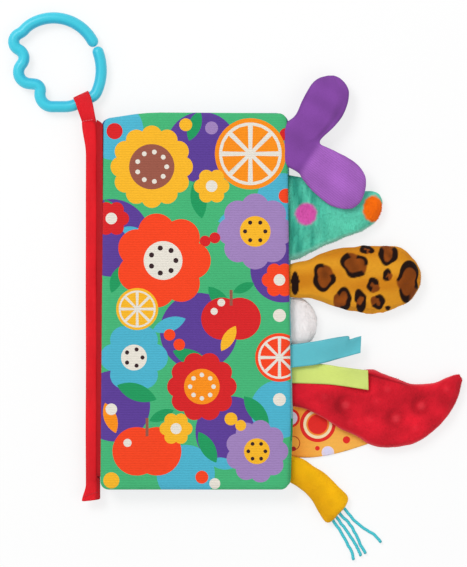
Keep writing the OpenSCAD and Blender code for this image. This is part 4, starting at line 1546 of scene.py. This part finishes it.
@dataclass
class PrintedFin:
    """A thin printed fin sewn from two layers."""

    far: list
    near: list
    heights: list
    thickness: float = 1.1

    def fields(self) -> list[Field]:
        """Round motifs in red and cream."""
        red, deep, cream, orange, lilac = "#E52620", "#B01818", "#F6E0B4", "#F8A83C", "#E6D8EA"
        rings = (
            (76.0, -75.8, 11.2, red), (76.0, -75.8, 9.0, cream), (76.0, -75.8, 7.2, "#F58A2E"),
            (76.0, -75.8, 6.2, red), (93.9, -85.6, 2.3, red), (75.8, -90.8, 1.5, red),
            (58.9, -71.9, 5.9, red), (58.9, -71.9, 4.4, lilac), (60.4, -87.5, 4.6, deep),
            (60.4, -87.5, 4.1, orange), (60.9, -91.0, 1.5, deep), (82.3, -93.4, 3.9, lilac),
            (82.3, -93.0, 2.6, "#DCD6F2"),
        )
        return [Field(rank, code, (disc(x, y, r),)) for rank, (x, y, r, code) in enumerate(rings)]

    def build(self) -> bpy.types.Object:
        """Makes and dresses the fin."""
        u = np.linspace(0, 1, 30)
        outline = np.vstack([along(self.near, u), along(self.far, u)[::-1]])
        nodes = ("printed_fin", "printed_fin_red_print", "printed_fin_cream_print")
        panel = PaddedPanel("printed_fin_cloth", BLOCK, nodes, "fin_cloth", 0.0, outline)
        flat, faces = panel.sheet([outline] + [f.outlines[0] for f in self.fields()], 1.5)
        probe = np.linspace(0, 1, 120)
        middle = (along(self.far, probe) + along(self.near, probe)) / 2
        nearest = probe[np.argmin(np.linalg.norm(flat[:, None] - middle[None], axis=2), axis=1)]
        z = along(self.heights, nearest)[:, 0]
        puff = self.thickness / 2 * np.sqrt(np.clip(rim_distance(flat, outline) / 2.0, 0, 1))
        wave = 0.12 * ripple(flat, 12, 4)
        upper = np.column_stack([flat, z + puff + wave])
        lower = np.column_stack([flat, z - puff + wave])
        lower[:, 2] = np.maximum(lower[:, 2], 0.05)
        upper[:, 2] = np.maximum(upper[:, 2], lower[:, 2])
        shift = len(flat)
        all_faces = faces + [tuple(i + shift for i in f[::-1]) for f in faces]
        centres = flat[np.array(faces)].mean(1)
        colours = mixed(linear("#FA9E34"), linear("#F8B64C"), smoothstep(58, 84, centres[:, 0]))
        for f in self.fields():
            colours[f.covers(centres)] = linear(f.colour)
        obj = Maker.mesh("printed_fin_cloth", np.vstack([upper, lower]) * MM, all_faces)
        Maker.tint(obj, np.repeat(np.vstack([colours, colours]), 3, axis=0), "CORNER")
        Maker.lay_uv(obj, np.vstack([flat, flat]) * MM)
        Maker.tidy(obj, 2e-6)
        Maker.dress(
            obj, RibbedFinish("fin_cloth", pitch=0.0008, depth=0.00006), "fin_cloth", BLOCK, nodes
        )
        return obj


@dataclass
class SpineTape:
    """The folded tape over the spine, with its loop for the ring."""

    height: float = 4.0
    cloth: float = 0.9

    def section(self) -> Array:
        """Outline of the folded band: x and z about its own left edge and mid height."""
        w, h = TAPE_RIGHT - TAPE_LEFT, self.height
        fold = [
            (h / 2 - h / 2 * math.cos(a), h / 2 * math.sin(a))
            for a in np.linspace(-math.pi / 2, math.pi / 2, 13)
        ]
        upper = [
            (w * 0.45, h / 2 + 0.05), (w * 0.68, h / 2 + 0.1), (w * 0.76, h / 2 - 0.12),
            (w * 0.8, h / 2 - 0.35), (w * 0.88, h / 2 - 0.3), (w * 0.96, h / 2 - 0.45),
            (w, h / 2 - 0.8)
        ]
        lower = [(x, -z) for x, z in reversed(upper)]
        return np.array([*fold, *upper, *lower])

    def band(self) -> bpy.types.Object:
        """The band from the head to the flared foot."""
        section = self.section()
        m = len(section)
        ys = np.concatenate([
            np.linspace(FOOT_END_Y, BAND_FOOT_Y, 14),
            np.linspace(BAND_FOOT_Y + 1.6, TAPE_HEAD_Y, 140)
        ])
        points, lay, tones = [], [], []
        for y in ys:
            foot = 1 - smoothstep(FOOT_END_Y, BAND_FOOT_Y - 2, y)
            flat = 1 - 0.5 * smoothstep(BAND_FOOT_Y + 6, BAND_FOOT_Y - 2, y)
            sway = 0.25 * ripple(np.array([[y]]), 70.0, 3)[0]
            lean, head = smoothstep(92, 112, y), smoothstep(108.5, 113, y)
            for j, (x, z) in enumerate(section):
                share = x / (TAPE_RIGHT - TAPE_LEFT)
                rest = 1 - share
                left = TAPE_LEFT - 2.6 * foot * rest - 2.4 * rest * lean - 1.9 * share * head
                dent = 0.14 * ripple(np.array([[y, x * 4]]), 15.0, 7)[0]
                slant = 1.4 * share * foot
                points.append((
                    left + x + sway * 0.4, y + slant,
                    MID_Z + z * flat + dent * (1 if z > 0 else 0.3)
                ))
                lay.append((y * MM, (x if z >= 0 else -x) * MM))
                cloud = 0.06 * ripple(np.array([[y, x]]), 24.0, 5)[0]
                # Painted shade: a darker strip along the right side, where the tape dips beside the
                # cover.
                tones.append(1.0 - 0.38 * smoothstep(0.72, 0.8, share) + cloud)
        n = len(ys)
        faces = strip_faces(n, m, closed=True)
        faces += [tuple(range(m)), tuple((n - 1) * m + j for j in range(m))]
        obj = Maker.mesh("spine_tape_band", np.array(points) * MM, faces)
        Maker.lay_uv(obj, np.array(lay))
        Maker.tint(obj, linear("#E60F1F") * np.array(tones)[:, None])
        Maker.tidy(obj)
        Maker.subdivide(obj)
        return obj

    @staticmethod
    def leg(first: tuple, last: tuple, steps: Array) -> list:
        """One leg of the loop.

        Args:
            first: the middle, half width and height of one end.
            last: the same of the other end.
            steps: places between them, from 0 to 1.

        Returns:
            The middle, half width and height at each place.
        """
        out = []
        for t in steps:
            s = t * t * (3 - 2 * t)
            across, z = (p * (1 - s) + q * s for p, q in zip(first[1:], last[1:]))
            out.append((first[0] * (1 - t) + last[0] * t, across, z))
        return out

    def loop(self) -> bpy.types.Object:
        """The strap from the band's head round the ring's wire and back."""
        r = WIRE_R + 0.1 + self.cloth / 2
        lean = math.radians(LOOP_LEAN)
        across_loop = np.array([math.cos(lean), math.sin(lean)]) * LOOP_W / 2
        out_way = np.array([-math.sin(lean), math.cos(lean)])
        neck, across_neck = np.array([HINGE_X - 1.7, TAPE_HEAD_Y - 3.0]), np.array([4.3, 0.6])
        wire = np.array([WIRE_X, WIRE_Y])
        over = (neck, across_neck, MID_Z + 0.5), (wire, across_loop, WIRE_Z + r)
        under = (wire, across_loop, WIRE_Z - r), (neck, across_neck, MID_Z - 0.5)
        steps = np.linspace(0, 1, 9)
        stations = self.leg(*over, steps[:-1])
        for a in np.linspace(90, -90, 19):
            q = math.radians(a)
            stations.append((
                wire + out_way * r * math.cos(q), across_loop, WIRE_Z + r * math.sin(q)
            ))
        stations += self.leg(*under, steps[1:])
        m = 10
        points, lay = [], []
        run = 0.0
        for k, (centre, across, z) in enumerate(stations):
            if k:
                run += math.dist((*centre, z), (*stations[k - 1][0], stations[k - 1][2]))
            for q in np.linspace(-1, 1, m + 1):
                points.append((*(centre + across * q), z + 0.1 * q * q))
                lay.append((run * MM, q * 0.0052))
        faces = strip_faces(len(stations), m + 1)
        obj = Maker.mesh("spine_tape_loop", np.array(points) * MM, faces)
        Maker.lay_uv(obj, np.array(lay))
        tone = 1 + 0.05 * ripple(np.array(points), 10, 2)
        Maker.tint(obj, linear("#E00E1E") * tone[:, None])
        Maker.solidify(obj, self.cloth * 0.9 * MM)
        Maker.subdivide(obj)
        return obj

    def stitches(self) -> bpy.types.Object:
        """Short machine stitches at both ends of the band, and dark ones beside its fold that paint
        the shadow in the seam.
        """
        # Each run: its two ends, height, pitch and colour
        fold_x = TAPE_RIGHT - 1.35
        runs = (
            ((TAPE_LEFT - 1.2, -120.4), (TAPE_RIGHT - 0.4, -117.2), 1.15, 1.6, "#C8404A"),
            (
                (TAPE_LEFT - 1.7, TAPE_HEAD_Y - 0.4), (TAPE_RIGHT - 3.4, TAPE_HEAD_Y + 0.8), 2.2,
                1.6, "#F0707A"
            ),
            # Dark stitches beside the fold: painted shadow along the seam by the cover.
            ((fold_x, BAND_FOOT_Y + 2), (fold_x, TAPE_HEAD_Y - 4), 1.75, 2.6, "#7E0A14"),
        )
        points, faces, colours = [], [], []
        for first, last, height, pitch, code in runs:
            a, b, z = np.array(first), np.array(last), MID_Z + height
            way = (b - a) / np.linalg.norm(b - a)
            side = np.array([-way[1], way[0]])
            for k in range(int(np.linalg.norm(b - a) / pitch)):
                start = a + way * pitch * k
                base = len(points)
                for s, rise in ((0.0, -0.25), (0.25, 0.1), (0.75, 0.1), (1.0, -0.25)):
                    for t in range(6):
                        q = 2 * math.pi * t / 6
                        w = 0.17 if 0 < s < 1 else 0.1
                        place = start + way * pitch * 0.8 * s + side * w * math.cos(q)
                        points.append((*place, z + rise + w * math.sin(q)))
                        colours.append(linear(code))
                faces += [tuple(base + i for i in f) for f in strip_faces(4, 6, closed=True)]
                faces += [tuple(base + t for t in range(6)), tuple(base + 18 + t for t in range(6))]
        obj = Maker.mesh("spine_tape_stitches", np.array(points) * MM, faces)
        Maker.lay_uv(obj, np.array(points)[:, :2] * MM)
        Maker.tint(obj, np.array(colours))
        Maker.tidy(obj)
        return obj

    def build(self) -> None:
        """Makes and dresses the tape's pieces."""
        finish = TapeFinish("grosgrain_tape")
        Maker.dress(self.band(), finish, "spine_tape", BLOCK, ("spine_tape",))
        Maker.dress(self.loop(), finish, "spine_tape", BLOCK)
        Maker.dress(self.stitches(), finish, "spine_tape", BLOCK)


@dataclass
class HingeWeb:
    """The cloth between the tape and a cover."""

    name: str
    body: str
    start: tuple[float, float]
    end: tuple[float, float]
    # A darker red than the tape: painted shade in the gap between tape and cover.
    colour: str = "#B40F1A"

    def build(self) -> bpy.types.Object:
        """Makes the web from inside the tape to inside the cover's rim."""
        steps, rows = 14, 90
        s, e = np.array(self.start), np.array(self.end)
        centre = np.array([HINGE_X, MID_Z])
        points, lay = [], []
        for k in range(rows + 1):
            y = BAND_FOOT_Y + 3 + (TAPE_HEAD_Y - BAND_FOOT_Y - 5.5) * k / rows
            for j in range(steps + 1):
                t = j / steps
                row = y + 3.0 * (1 - t) * max(0.0, k / rows * 8 - 7)
                p = s * (1 - t) + e * t
                p = p + (p - centre) / np.linalg.norm(p - centre) * 0.5 * math.sin(math.pi * t)
                wave = 0.12 * math.sin(y * 0.9 + 3 * t) * math.sin(math.pi * t)
                points.append((p[0], row, p[1] + wave))
                lay.append((y * MM, t * np.linalg.norm(e - s) * MM))
        faces = strip_faces(rows + 1, steps + 1)
        obj = Maker.mesh(self.name, np.array(points) * MM, faces)
        Maker.lay_uv(obj, np.array(lay))
        Maker.tint(obj, np.tile(linear(self.colour), (len(points), 1)))
        Maker.solidify(obj, 0.5 * MM)
        Maker.dress(obj, TapeFinish("grosgrain_tape"), "spine_tape")
        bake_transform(obj)
        return obj


@dataclass
class LinkRing:
    """The moulded ring: one round wire along straight runs and arcs, with domed ends."""

    sides: int = 32
    step: float = 5.0

    def route(self) -> tuple[tuple[float, float, float], list[tuple[float, float]]]:
        """The wire from the end of its large bow to the end of its side.

        Returns:
            The start as x, y and heading, and steps of a radius and an angle, or a length and 0.
        """
        r = WIRE_R
        lobes = [
            (5.6, 0), (15, -25), (8, 0), (r + 4.2, -102), (r + 0.3, 96), (3.7, 0), (r + 3.6, -126),
            (r + 2.3, 106), (r + 1.9, -125), (1.5, 0), (9, 20), (18, -20), (r + 24, -91),
        ]
        side = [(5.6, 0), (r + 2.6, 41), (r + 29.5, 44)]
        x = y = 0.0
        heading = 180.0
        for radius, angle in lobes:
            x, y, heading = self.step_to(x, y, heading, radius, angle)
        back = [(radius, -angle) for radius, angle in reversed(lobes)]
        return (x, y, heading - 180.0), back + side

    @staticmethod
    def step_to(
        x: float, y: float, heading: float, radius: float, angle: float
    ) -> tuple[float, float, float]:
        """Where one step of the wire ends."""
        h = math.radians(heading)
        if angle == 0:
            return x + radius * math.cos(h), y + radius * math.sin(h), heading
        q = math.copysign(radius, angle)
        e = math.radians(heading + angle)
        x, y = x + q * (math.sin(e) - math.sin(h)), y - q * (math.cos(e) - math.cos(h))
        return x, y, heading + angle

    @staticmethod
    def extrude(heading: float, run: float) -> None:
        """Draws the selected loop straight ahead by run, in millimetres."""
        h = math.radians(heading)
        move = (run * math.cos(h) * MM, run * math.sin(h) * MM, 0)
        bpy.ops.mesh.extrude_region_move(TRANSFORM_OT_translate={"value": move})

    def dome(self, heading: float) -> None:
        """Closes the selected end loop with a half round."""
        last = 0.0
        size = 1.0
        for b in (22, 44, 64, 80):
            reach, shrink = math.sin(math.radians(b)), math.cos(math.radians(b))
            self.extrude(heading, (reach - last) * WIRE_R)
            bpy.ops.transform.resize(value=(shrink / size,) * 3)
            last, size = reach, shrink
        bpy.ops.mesh.merge(type="CENTER")

    def build(self) -> bpy.types.Object:
        """Makes and dresses the ring."""
        (x, y, heading), steps = self.route()
        first = (x, y, heading)
        bpy.ops.object.select_all(action="DESELECT")
        bpy.ops.mesh.primitive_circle_add(
            vertices=self.sides, radius=WIRE_R * MM, location=(x * MM, y * MM, 0),
            rotation=(math.pi / 2, 0, math.radians(heading) + math.pi / 2)
        )
        obj = bpy.context.object
        obj.name = "link_ring_moulded"
        bpy.ops.object.transform_apply(location=True, rotation=True, scale=True)
        bpy.ops.object.mode_set(mode="EDIT")
        bpy.ops.mesh.select_all(action="SELECT")
        for radius, angle in steps:
            h = math.radians(heading)
            if angle == 0:
                self.extrude(heading, radius)
            else:
                q = math.copysign(radius, angle)
                centre = ((x - q * math.sin(h)) * MM, (y + q * math.cos(h)) * MM, 0)
                bpy.ops.mesh.spin(
                    steps=max(2, int(abs(angle) / self.step)), angle=-math.radians(angle),
                    center=centre, axis=(0, 0, 1)
                )
            x, y, heading = self.step_to(x, y, heading, radius, angle)
        self.dome(heading)
        bpy.ops.mesh.select_all(action="DESELECT")
        bpy.ops.object.mode_set(mode="OBJECT")
        start = np.array(first[:2]) * MM
        way = np.array([math.cos(math.radians(first[2])), math.sin(math.radians(first[2]))])
        for vertex in obj.data.vertices:
            offset = np.array(vertex.co[:2]) - start
            vertex.select = abs(offset @ way) < 1e-5 and np.linalg.norm(offset) < WIRE_R * MM * 1.05
        bpy.ops.object.mode_set(mode="EDIT")
        bpy.ops.mesh.select_mode(type="VERT")
        self.dome(first[2] + 180)
        bpy.ops.mesh.select_all(action="SELECT")
        bpy.ops.mesh.remove_doubles(threshold=1e-6)
        bpy.ops.mesh.normals_make_consistent(inside=False)
        bpy.ops.object.mode_set(mode="OBJECT")
        bpy.ops.object.shade_smooth()
        points = Maker.points(obj)
        plan = turned(points[:, :2], WIRE_X * MM, WIRE_Y * MM, LOOP_LEAN)
        placed = np.column_stack([plan, points[:, 2] + WIRE_Z * MM])
        Maker.place(obj, placed)
        # Painted shade: the wire is darker where it faces the middle of the ring.
        middle = unit(placed[:, :2].mean(0) - placed[:, :2])
        inner = smoothstep(0.1, 0.85, (Maker.normals(obj)[:, :2] * middle).sum(1))
        Maker.tint(obj, mixed(linear("#34C3D9"), linear("#0AA9CB"), inner))
        Maker.dress(obj, PlasticFinish("moulded_plastic"), "ring_plastic", "ring", ("link_ring",))
        return obj


class ClothBook:
    """The whole book."""

    def panels(self) -> None:
        """Covers and leaves."""
        ribbed = RibbedFinish("ribbed_cloth")
        prints = [ink.name.lower() for ink in Ink]
        nodes = ("front_cover", *(f"cover_print_{p}" for p in prints))
        fields = GardenPrint().fields()
        PaddedPanel(
            "front_cover_cloth", "front_cover", nodes, "cover_cloth", FRONT_MID_Z, cover_outline(),
            fields
        ).build(ribbed)
        corner = np.array([SPINE_X, FOOT_Y])
        back = turned(cover_outline() - corner, *corner, BACK_SKEW)
        PaddedPanel(
            "back_cover_cloth", "back_cover", ("back_cover",), "back_cloth", BACK_MID_Z, back, [],
            "#2C4E9A", "#2C4E9A", grid=3.0, seed=4, edge_run=4.0
        ).build(ribbed)
        leaf = cover_outline()
        leaf = np.column_stack([leaf[:, 0] + LEAF_PROUD, leaf[:, 1] * LEAF_HEIGHT / COVER_HEIGHT])
        for i, z in enumerate(LEAF_MID_Z):
            leaf = turned(leaf - corner, *corner, LEAF_SKEW[i])
            obj = PaddedPanel(
                f"leaf_{i + 1}_cloth", BLOCK, ("inner_pages",), "leaf_cloth", z, leaf, leaf_print(),
                "#7FC4CC", "#7FC4CC", half_t=1.65, grid=3.0, seed=6 + i, swell=0.0, edge_run=5.0
            )
            obj.build(ribbed)

    def tails(self) -> None:
        """Tails, fin and ribbons along the fore-edge."""
        FlukeTail(
            "fluke_tail_velour", "front_cover", ("fluke_tail",), "fluke_velour",
            [
                [85.6, 140.9], [90, 139], [93.8, 135], [95.6, 129.5], [95, 124], [91.5, 115.8],
                [85.6, 108], [77.4, 99.2], [86, 94.2], [94, 90], [101, 85], [105.2, 78],
                [105.3, 70], [102.8, 63], [98.6, 58.8], [96, 57.8]
            ],
            [
                [82.6, 140.9], [77, 139.4], [72.6, 136], [69.2, 131], [65.8, 124.5], [61.4, 116],
                cover_root_pt(108.8), cover_root_pt(101), cover_root_pt(93.5), cover_root_pt(86.4),
                [61.6, 81.2], [66.6, 75.4], [74, 67.5], [82, 61.3], [89, 58.4], [93.5, 57.6]
            ],
            [8, 8.5, 10, 12.4, FRONT_MID_Z, FRONT_MID_Z, 12, 11, 10.6],
            [0.5, 0.86, 0.98, 0.7, 0.5, 0.5, 0.9, 0.98, 0.5], 5.6,
            VelourFinish("purple_velour"), puff=0.6, bulge=0.4, step=1.1, tip_round=2.5,
            root_round=2.5,
        ).build()
        GreenTail(
            "green_tail_plush", BLOCK,
            ("green_tail", "green_tail_pink_spot", "green_tail_orange_spot"), "green_plush",
            [
                root_pt(79.3), [70, 77], [82, 74], [94, 71.5], [104, 70], [110.2, 69.2],
                [114.2, 67.2], [116.1, 63]
            ],
            [
                root_pt(24.9), [67.5, 29.1], [78.2, 34.5], [88.9, 38.8], [98.5, 42.5],
                [107.1, 46.8], [112.4, 51], [115.8, 57]
            ],
            [7.4, 5.8, 4.6, 4.3, 4.1, 4.1], [0.5, 0.92, 1, 0.96, 0.8, 0.4], 6.6,
            PileFinish("green_minky", streak=(1.0, 0.12, 1.0), grain=1300.0, depth=0.0004),
            puff=1.4, pile_count=26000, pile_length=0.8, pile_width=0.12, pile_lean=(0.1, -1.0),
        ).build()
        LeopardTail(
            "leopard_tail_plush", BLOCK,
            ("leopard_tail", "leopard_tail_rings", "leopard_tail_centres"), "leopard_plush",
            [
                root_pt(23.0), [67.5, 26], [78.2, 30.2], [88.9, 33.4], [99.6, 35], [110.2, 35.6],
                [120.9, 35], [129.5, 32.4], [135.9, 27], [139.4, 20.5], [140.4, 15.8]
            ],
            [
                root_pt(3.5), [67.5, 2.8], [76.1, 0.9], [86.7, -2.5], [97.5, -5.5], [107.1, -6.8],
                [116.7, -6.1], [126.3, -2.9], [133.7, 1.9], [138.4, 8], [140.2, 12.8]
            ],
            [9.2, 9, 8.4, 7.2, 5.8, 4.6], [0.34, 0.8, 1, 1, 0.9, 0.4], 6.8,
            PileFinish(
                "gold_minky", streak=(0.4, 1.0, 1.0), grain=1300.0, depth=0.0003, dark=0.92,
                light=1.08
            ),
            step=0.95, puff=1.2, pile_count=9000, pile_length=0.6, pile_width=0.1,
            pile_lean=(1.0, 0.1),
        ).build()
        SoftTail(
            "bunny_tail_plush", BLOCK, ("bunny_tail",), "white_plush",
            [[64, 3.2], [69, 0.6], [73.5, -5], [75.5, -13], [74.3, -20], [70, -25], [64, -27]],
            [
                root_pt(3.2), root_pt(-2), root_pt(-8), root_pt(-14), root_pt(-19), root_pt(-24),
                root_pt(-27)
            ],
            [5, 4.8, 4.6, 4.6, 4.8], [0.4, 0.86, 1, 0.86, 0.4], 4.6,
            PileFinish("snow_plush", grain=900.0, depth=0.0002, dark=0.98, light=1.02, sheen=0.3),
            puff=0.5, pile_count=12000, pile_length=0.8, pile_width=0.1, pile_lean=(1.0, 0.0),
        ).build()
        RedTail(
            "red_tail_plush", BLOCK, ("red_tail",), "red_plush",
            [
                root_pt(-50), [74, -49], [88, -46.5], [100, -43], [108.7, -41.9], [116.5, -44],
                [124.3, -47], [132.1, -49.4], [141.9, -50.4], [149.7, -49.4], [155.6, -47],
                [160.5, -45], [164, -44.7]
            ],
            [
                root_pt(-63.5), [70, -67], [82.3, -73.8], [91.1, -79.2], [100.9, -84.1],
                [108.7, -88.5], [119.4, -90.4], [131.1, -89], [139.9, -85.5], [147.7, -80.2],
                [154.6, -73.3], [161.8, -62], [166, -48]
            ],
            [7, 5.8, 5.3, 5.2, 5.2, 5.2, 5.2, 4.8], [0.3, 0.66, 0.86, 1, 1, 0.9, 0.66, 0.4], 8.4,
            PileFinish(
                "scarlet_minky", streak=(1.0, 0.5, 1.0), grain=1300.0, depth=0.0005, dark=0.84,
                light=1.14
            ),
            puff=1.0, pile_count=20000, pile_length=0.7, pile_width=0.1, pile_lean=(0.8, 0.3),
            tip_round=3.0,
        ).build()
        YellowTail(
            "yellow_tail_plush", BLOCK, ("yellow_tail",), "yellow_plush",
            [
                root_pt(-94.8), [67.2, -97.3], [75.5, -102.6], [84.3, -109.4], [91.1, -116.3],
                [94.2, -120.2], [94.7, -123.1], [93.3, -126.2], [91.6, -128.2]
            ],
            [
                root_pt(-111.2), [65.7, -116.3], [69, -119.3], [72.5, -123.6], [76.4, -130],
                [79.9, -135.8], [82.8, -137], [86, -135], [88, -132.6]
            ],
            [6, 4.8, 4, 3.2, 2.6], [0.6, 1, 1, 0.9, 0.5], 4.4,
            PileFinish("yellow_velour", grain=1500.0, depth=0.0003, dark=0.9, light=1.08), puff=0.6,
            bulge=0.45, tip_round=2.0, pile_count=6000, pile_length=0.5, pile_width=0.1,
            pile_lean=(0.6, -0.8),
        ).build()
        Ribbon(
            "teal_ribbon",
            [
                root_pt(-26.5), [72, -24.4], [84, -22.2], [90, -21.2], [94.8, -20.8], [95.7, -22.7],
                [99, -21.8], [102.4, -20.9]
            ],
            [
                root_pt(-40.6), [72, -38.9], [80, -37.4], [85, -36], [89.2, -34.8], [93, -33.8],
                [97, -32.7], [101.9, -31.4]
            ],
            [10.2, 10.6, 9.4, 8.0], "#55BDCA", (0.0126, 0.084),
        ).build()
        Ribbon(
            "lime_ribbon",
            [root_pt(-37), [78.4, -38.2], [90.1, -39.9], [100.9, -41.3], [106.4, -41.9]],
            [root_pt(-49.9), [80.4, -50.7], [90, -51.6], [99, -52.9], [106.7, -54.1]],
            [7.0, 9.2, 11.0, 12.0], "#CFE070", (0.012, 0.092), seed=6,
        ).build()
        PrintedFin(
            [root_pt(-62.0), [76, -66], [92, -74], [109.5, -85.5]],
            [root_pt(-96.0), [72, -96.6], [89, -93.8], [107, -88.3]],
            [5, 1.6, 0.8, 0.8],
        ).build()

    def build(self) -> None:
        """Makes every piece in order."""
        TasselStrings().build()
        self.panels()
        SpineTape().build()
        HingeWeb("front_hinge_web", "front_cover", (-61.2, 9.3), (-57.4, 13.0)).build()
        HingeWeb("back_hinge_web", "back_cover", (-61.2, 5.5), (-57.4, 1.8)).build()
        LinkRing().build()
        self.tails()


def main() -> None:
    """Builds the scene."""
    logging.basicConfig(level=logging.INFO, format="%(name)s: %(message)s")
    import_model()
    bpy.ops.object.select_all(action="DESELECT")
    bpy.context.scene.view_settings.view_transform = "Standard"
    studio = Studio()
    studio.camera()
    ClothBook().build()
    studio.lamps()
    studio.floor()


if __name__ == "__main__":
    main()
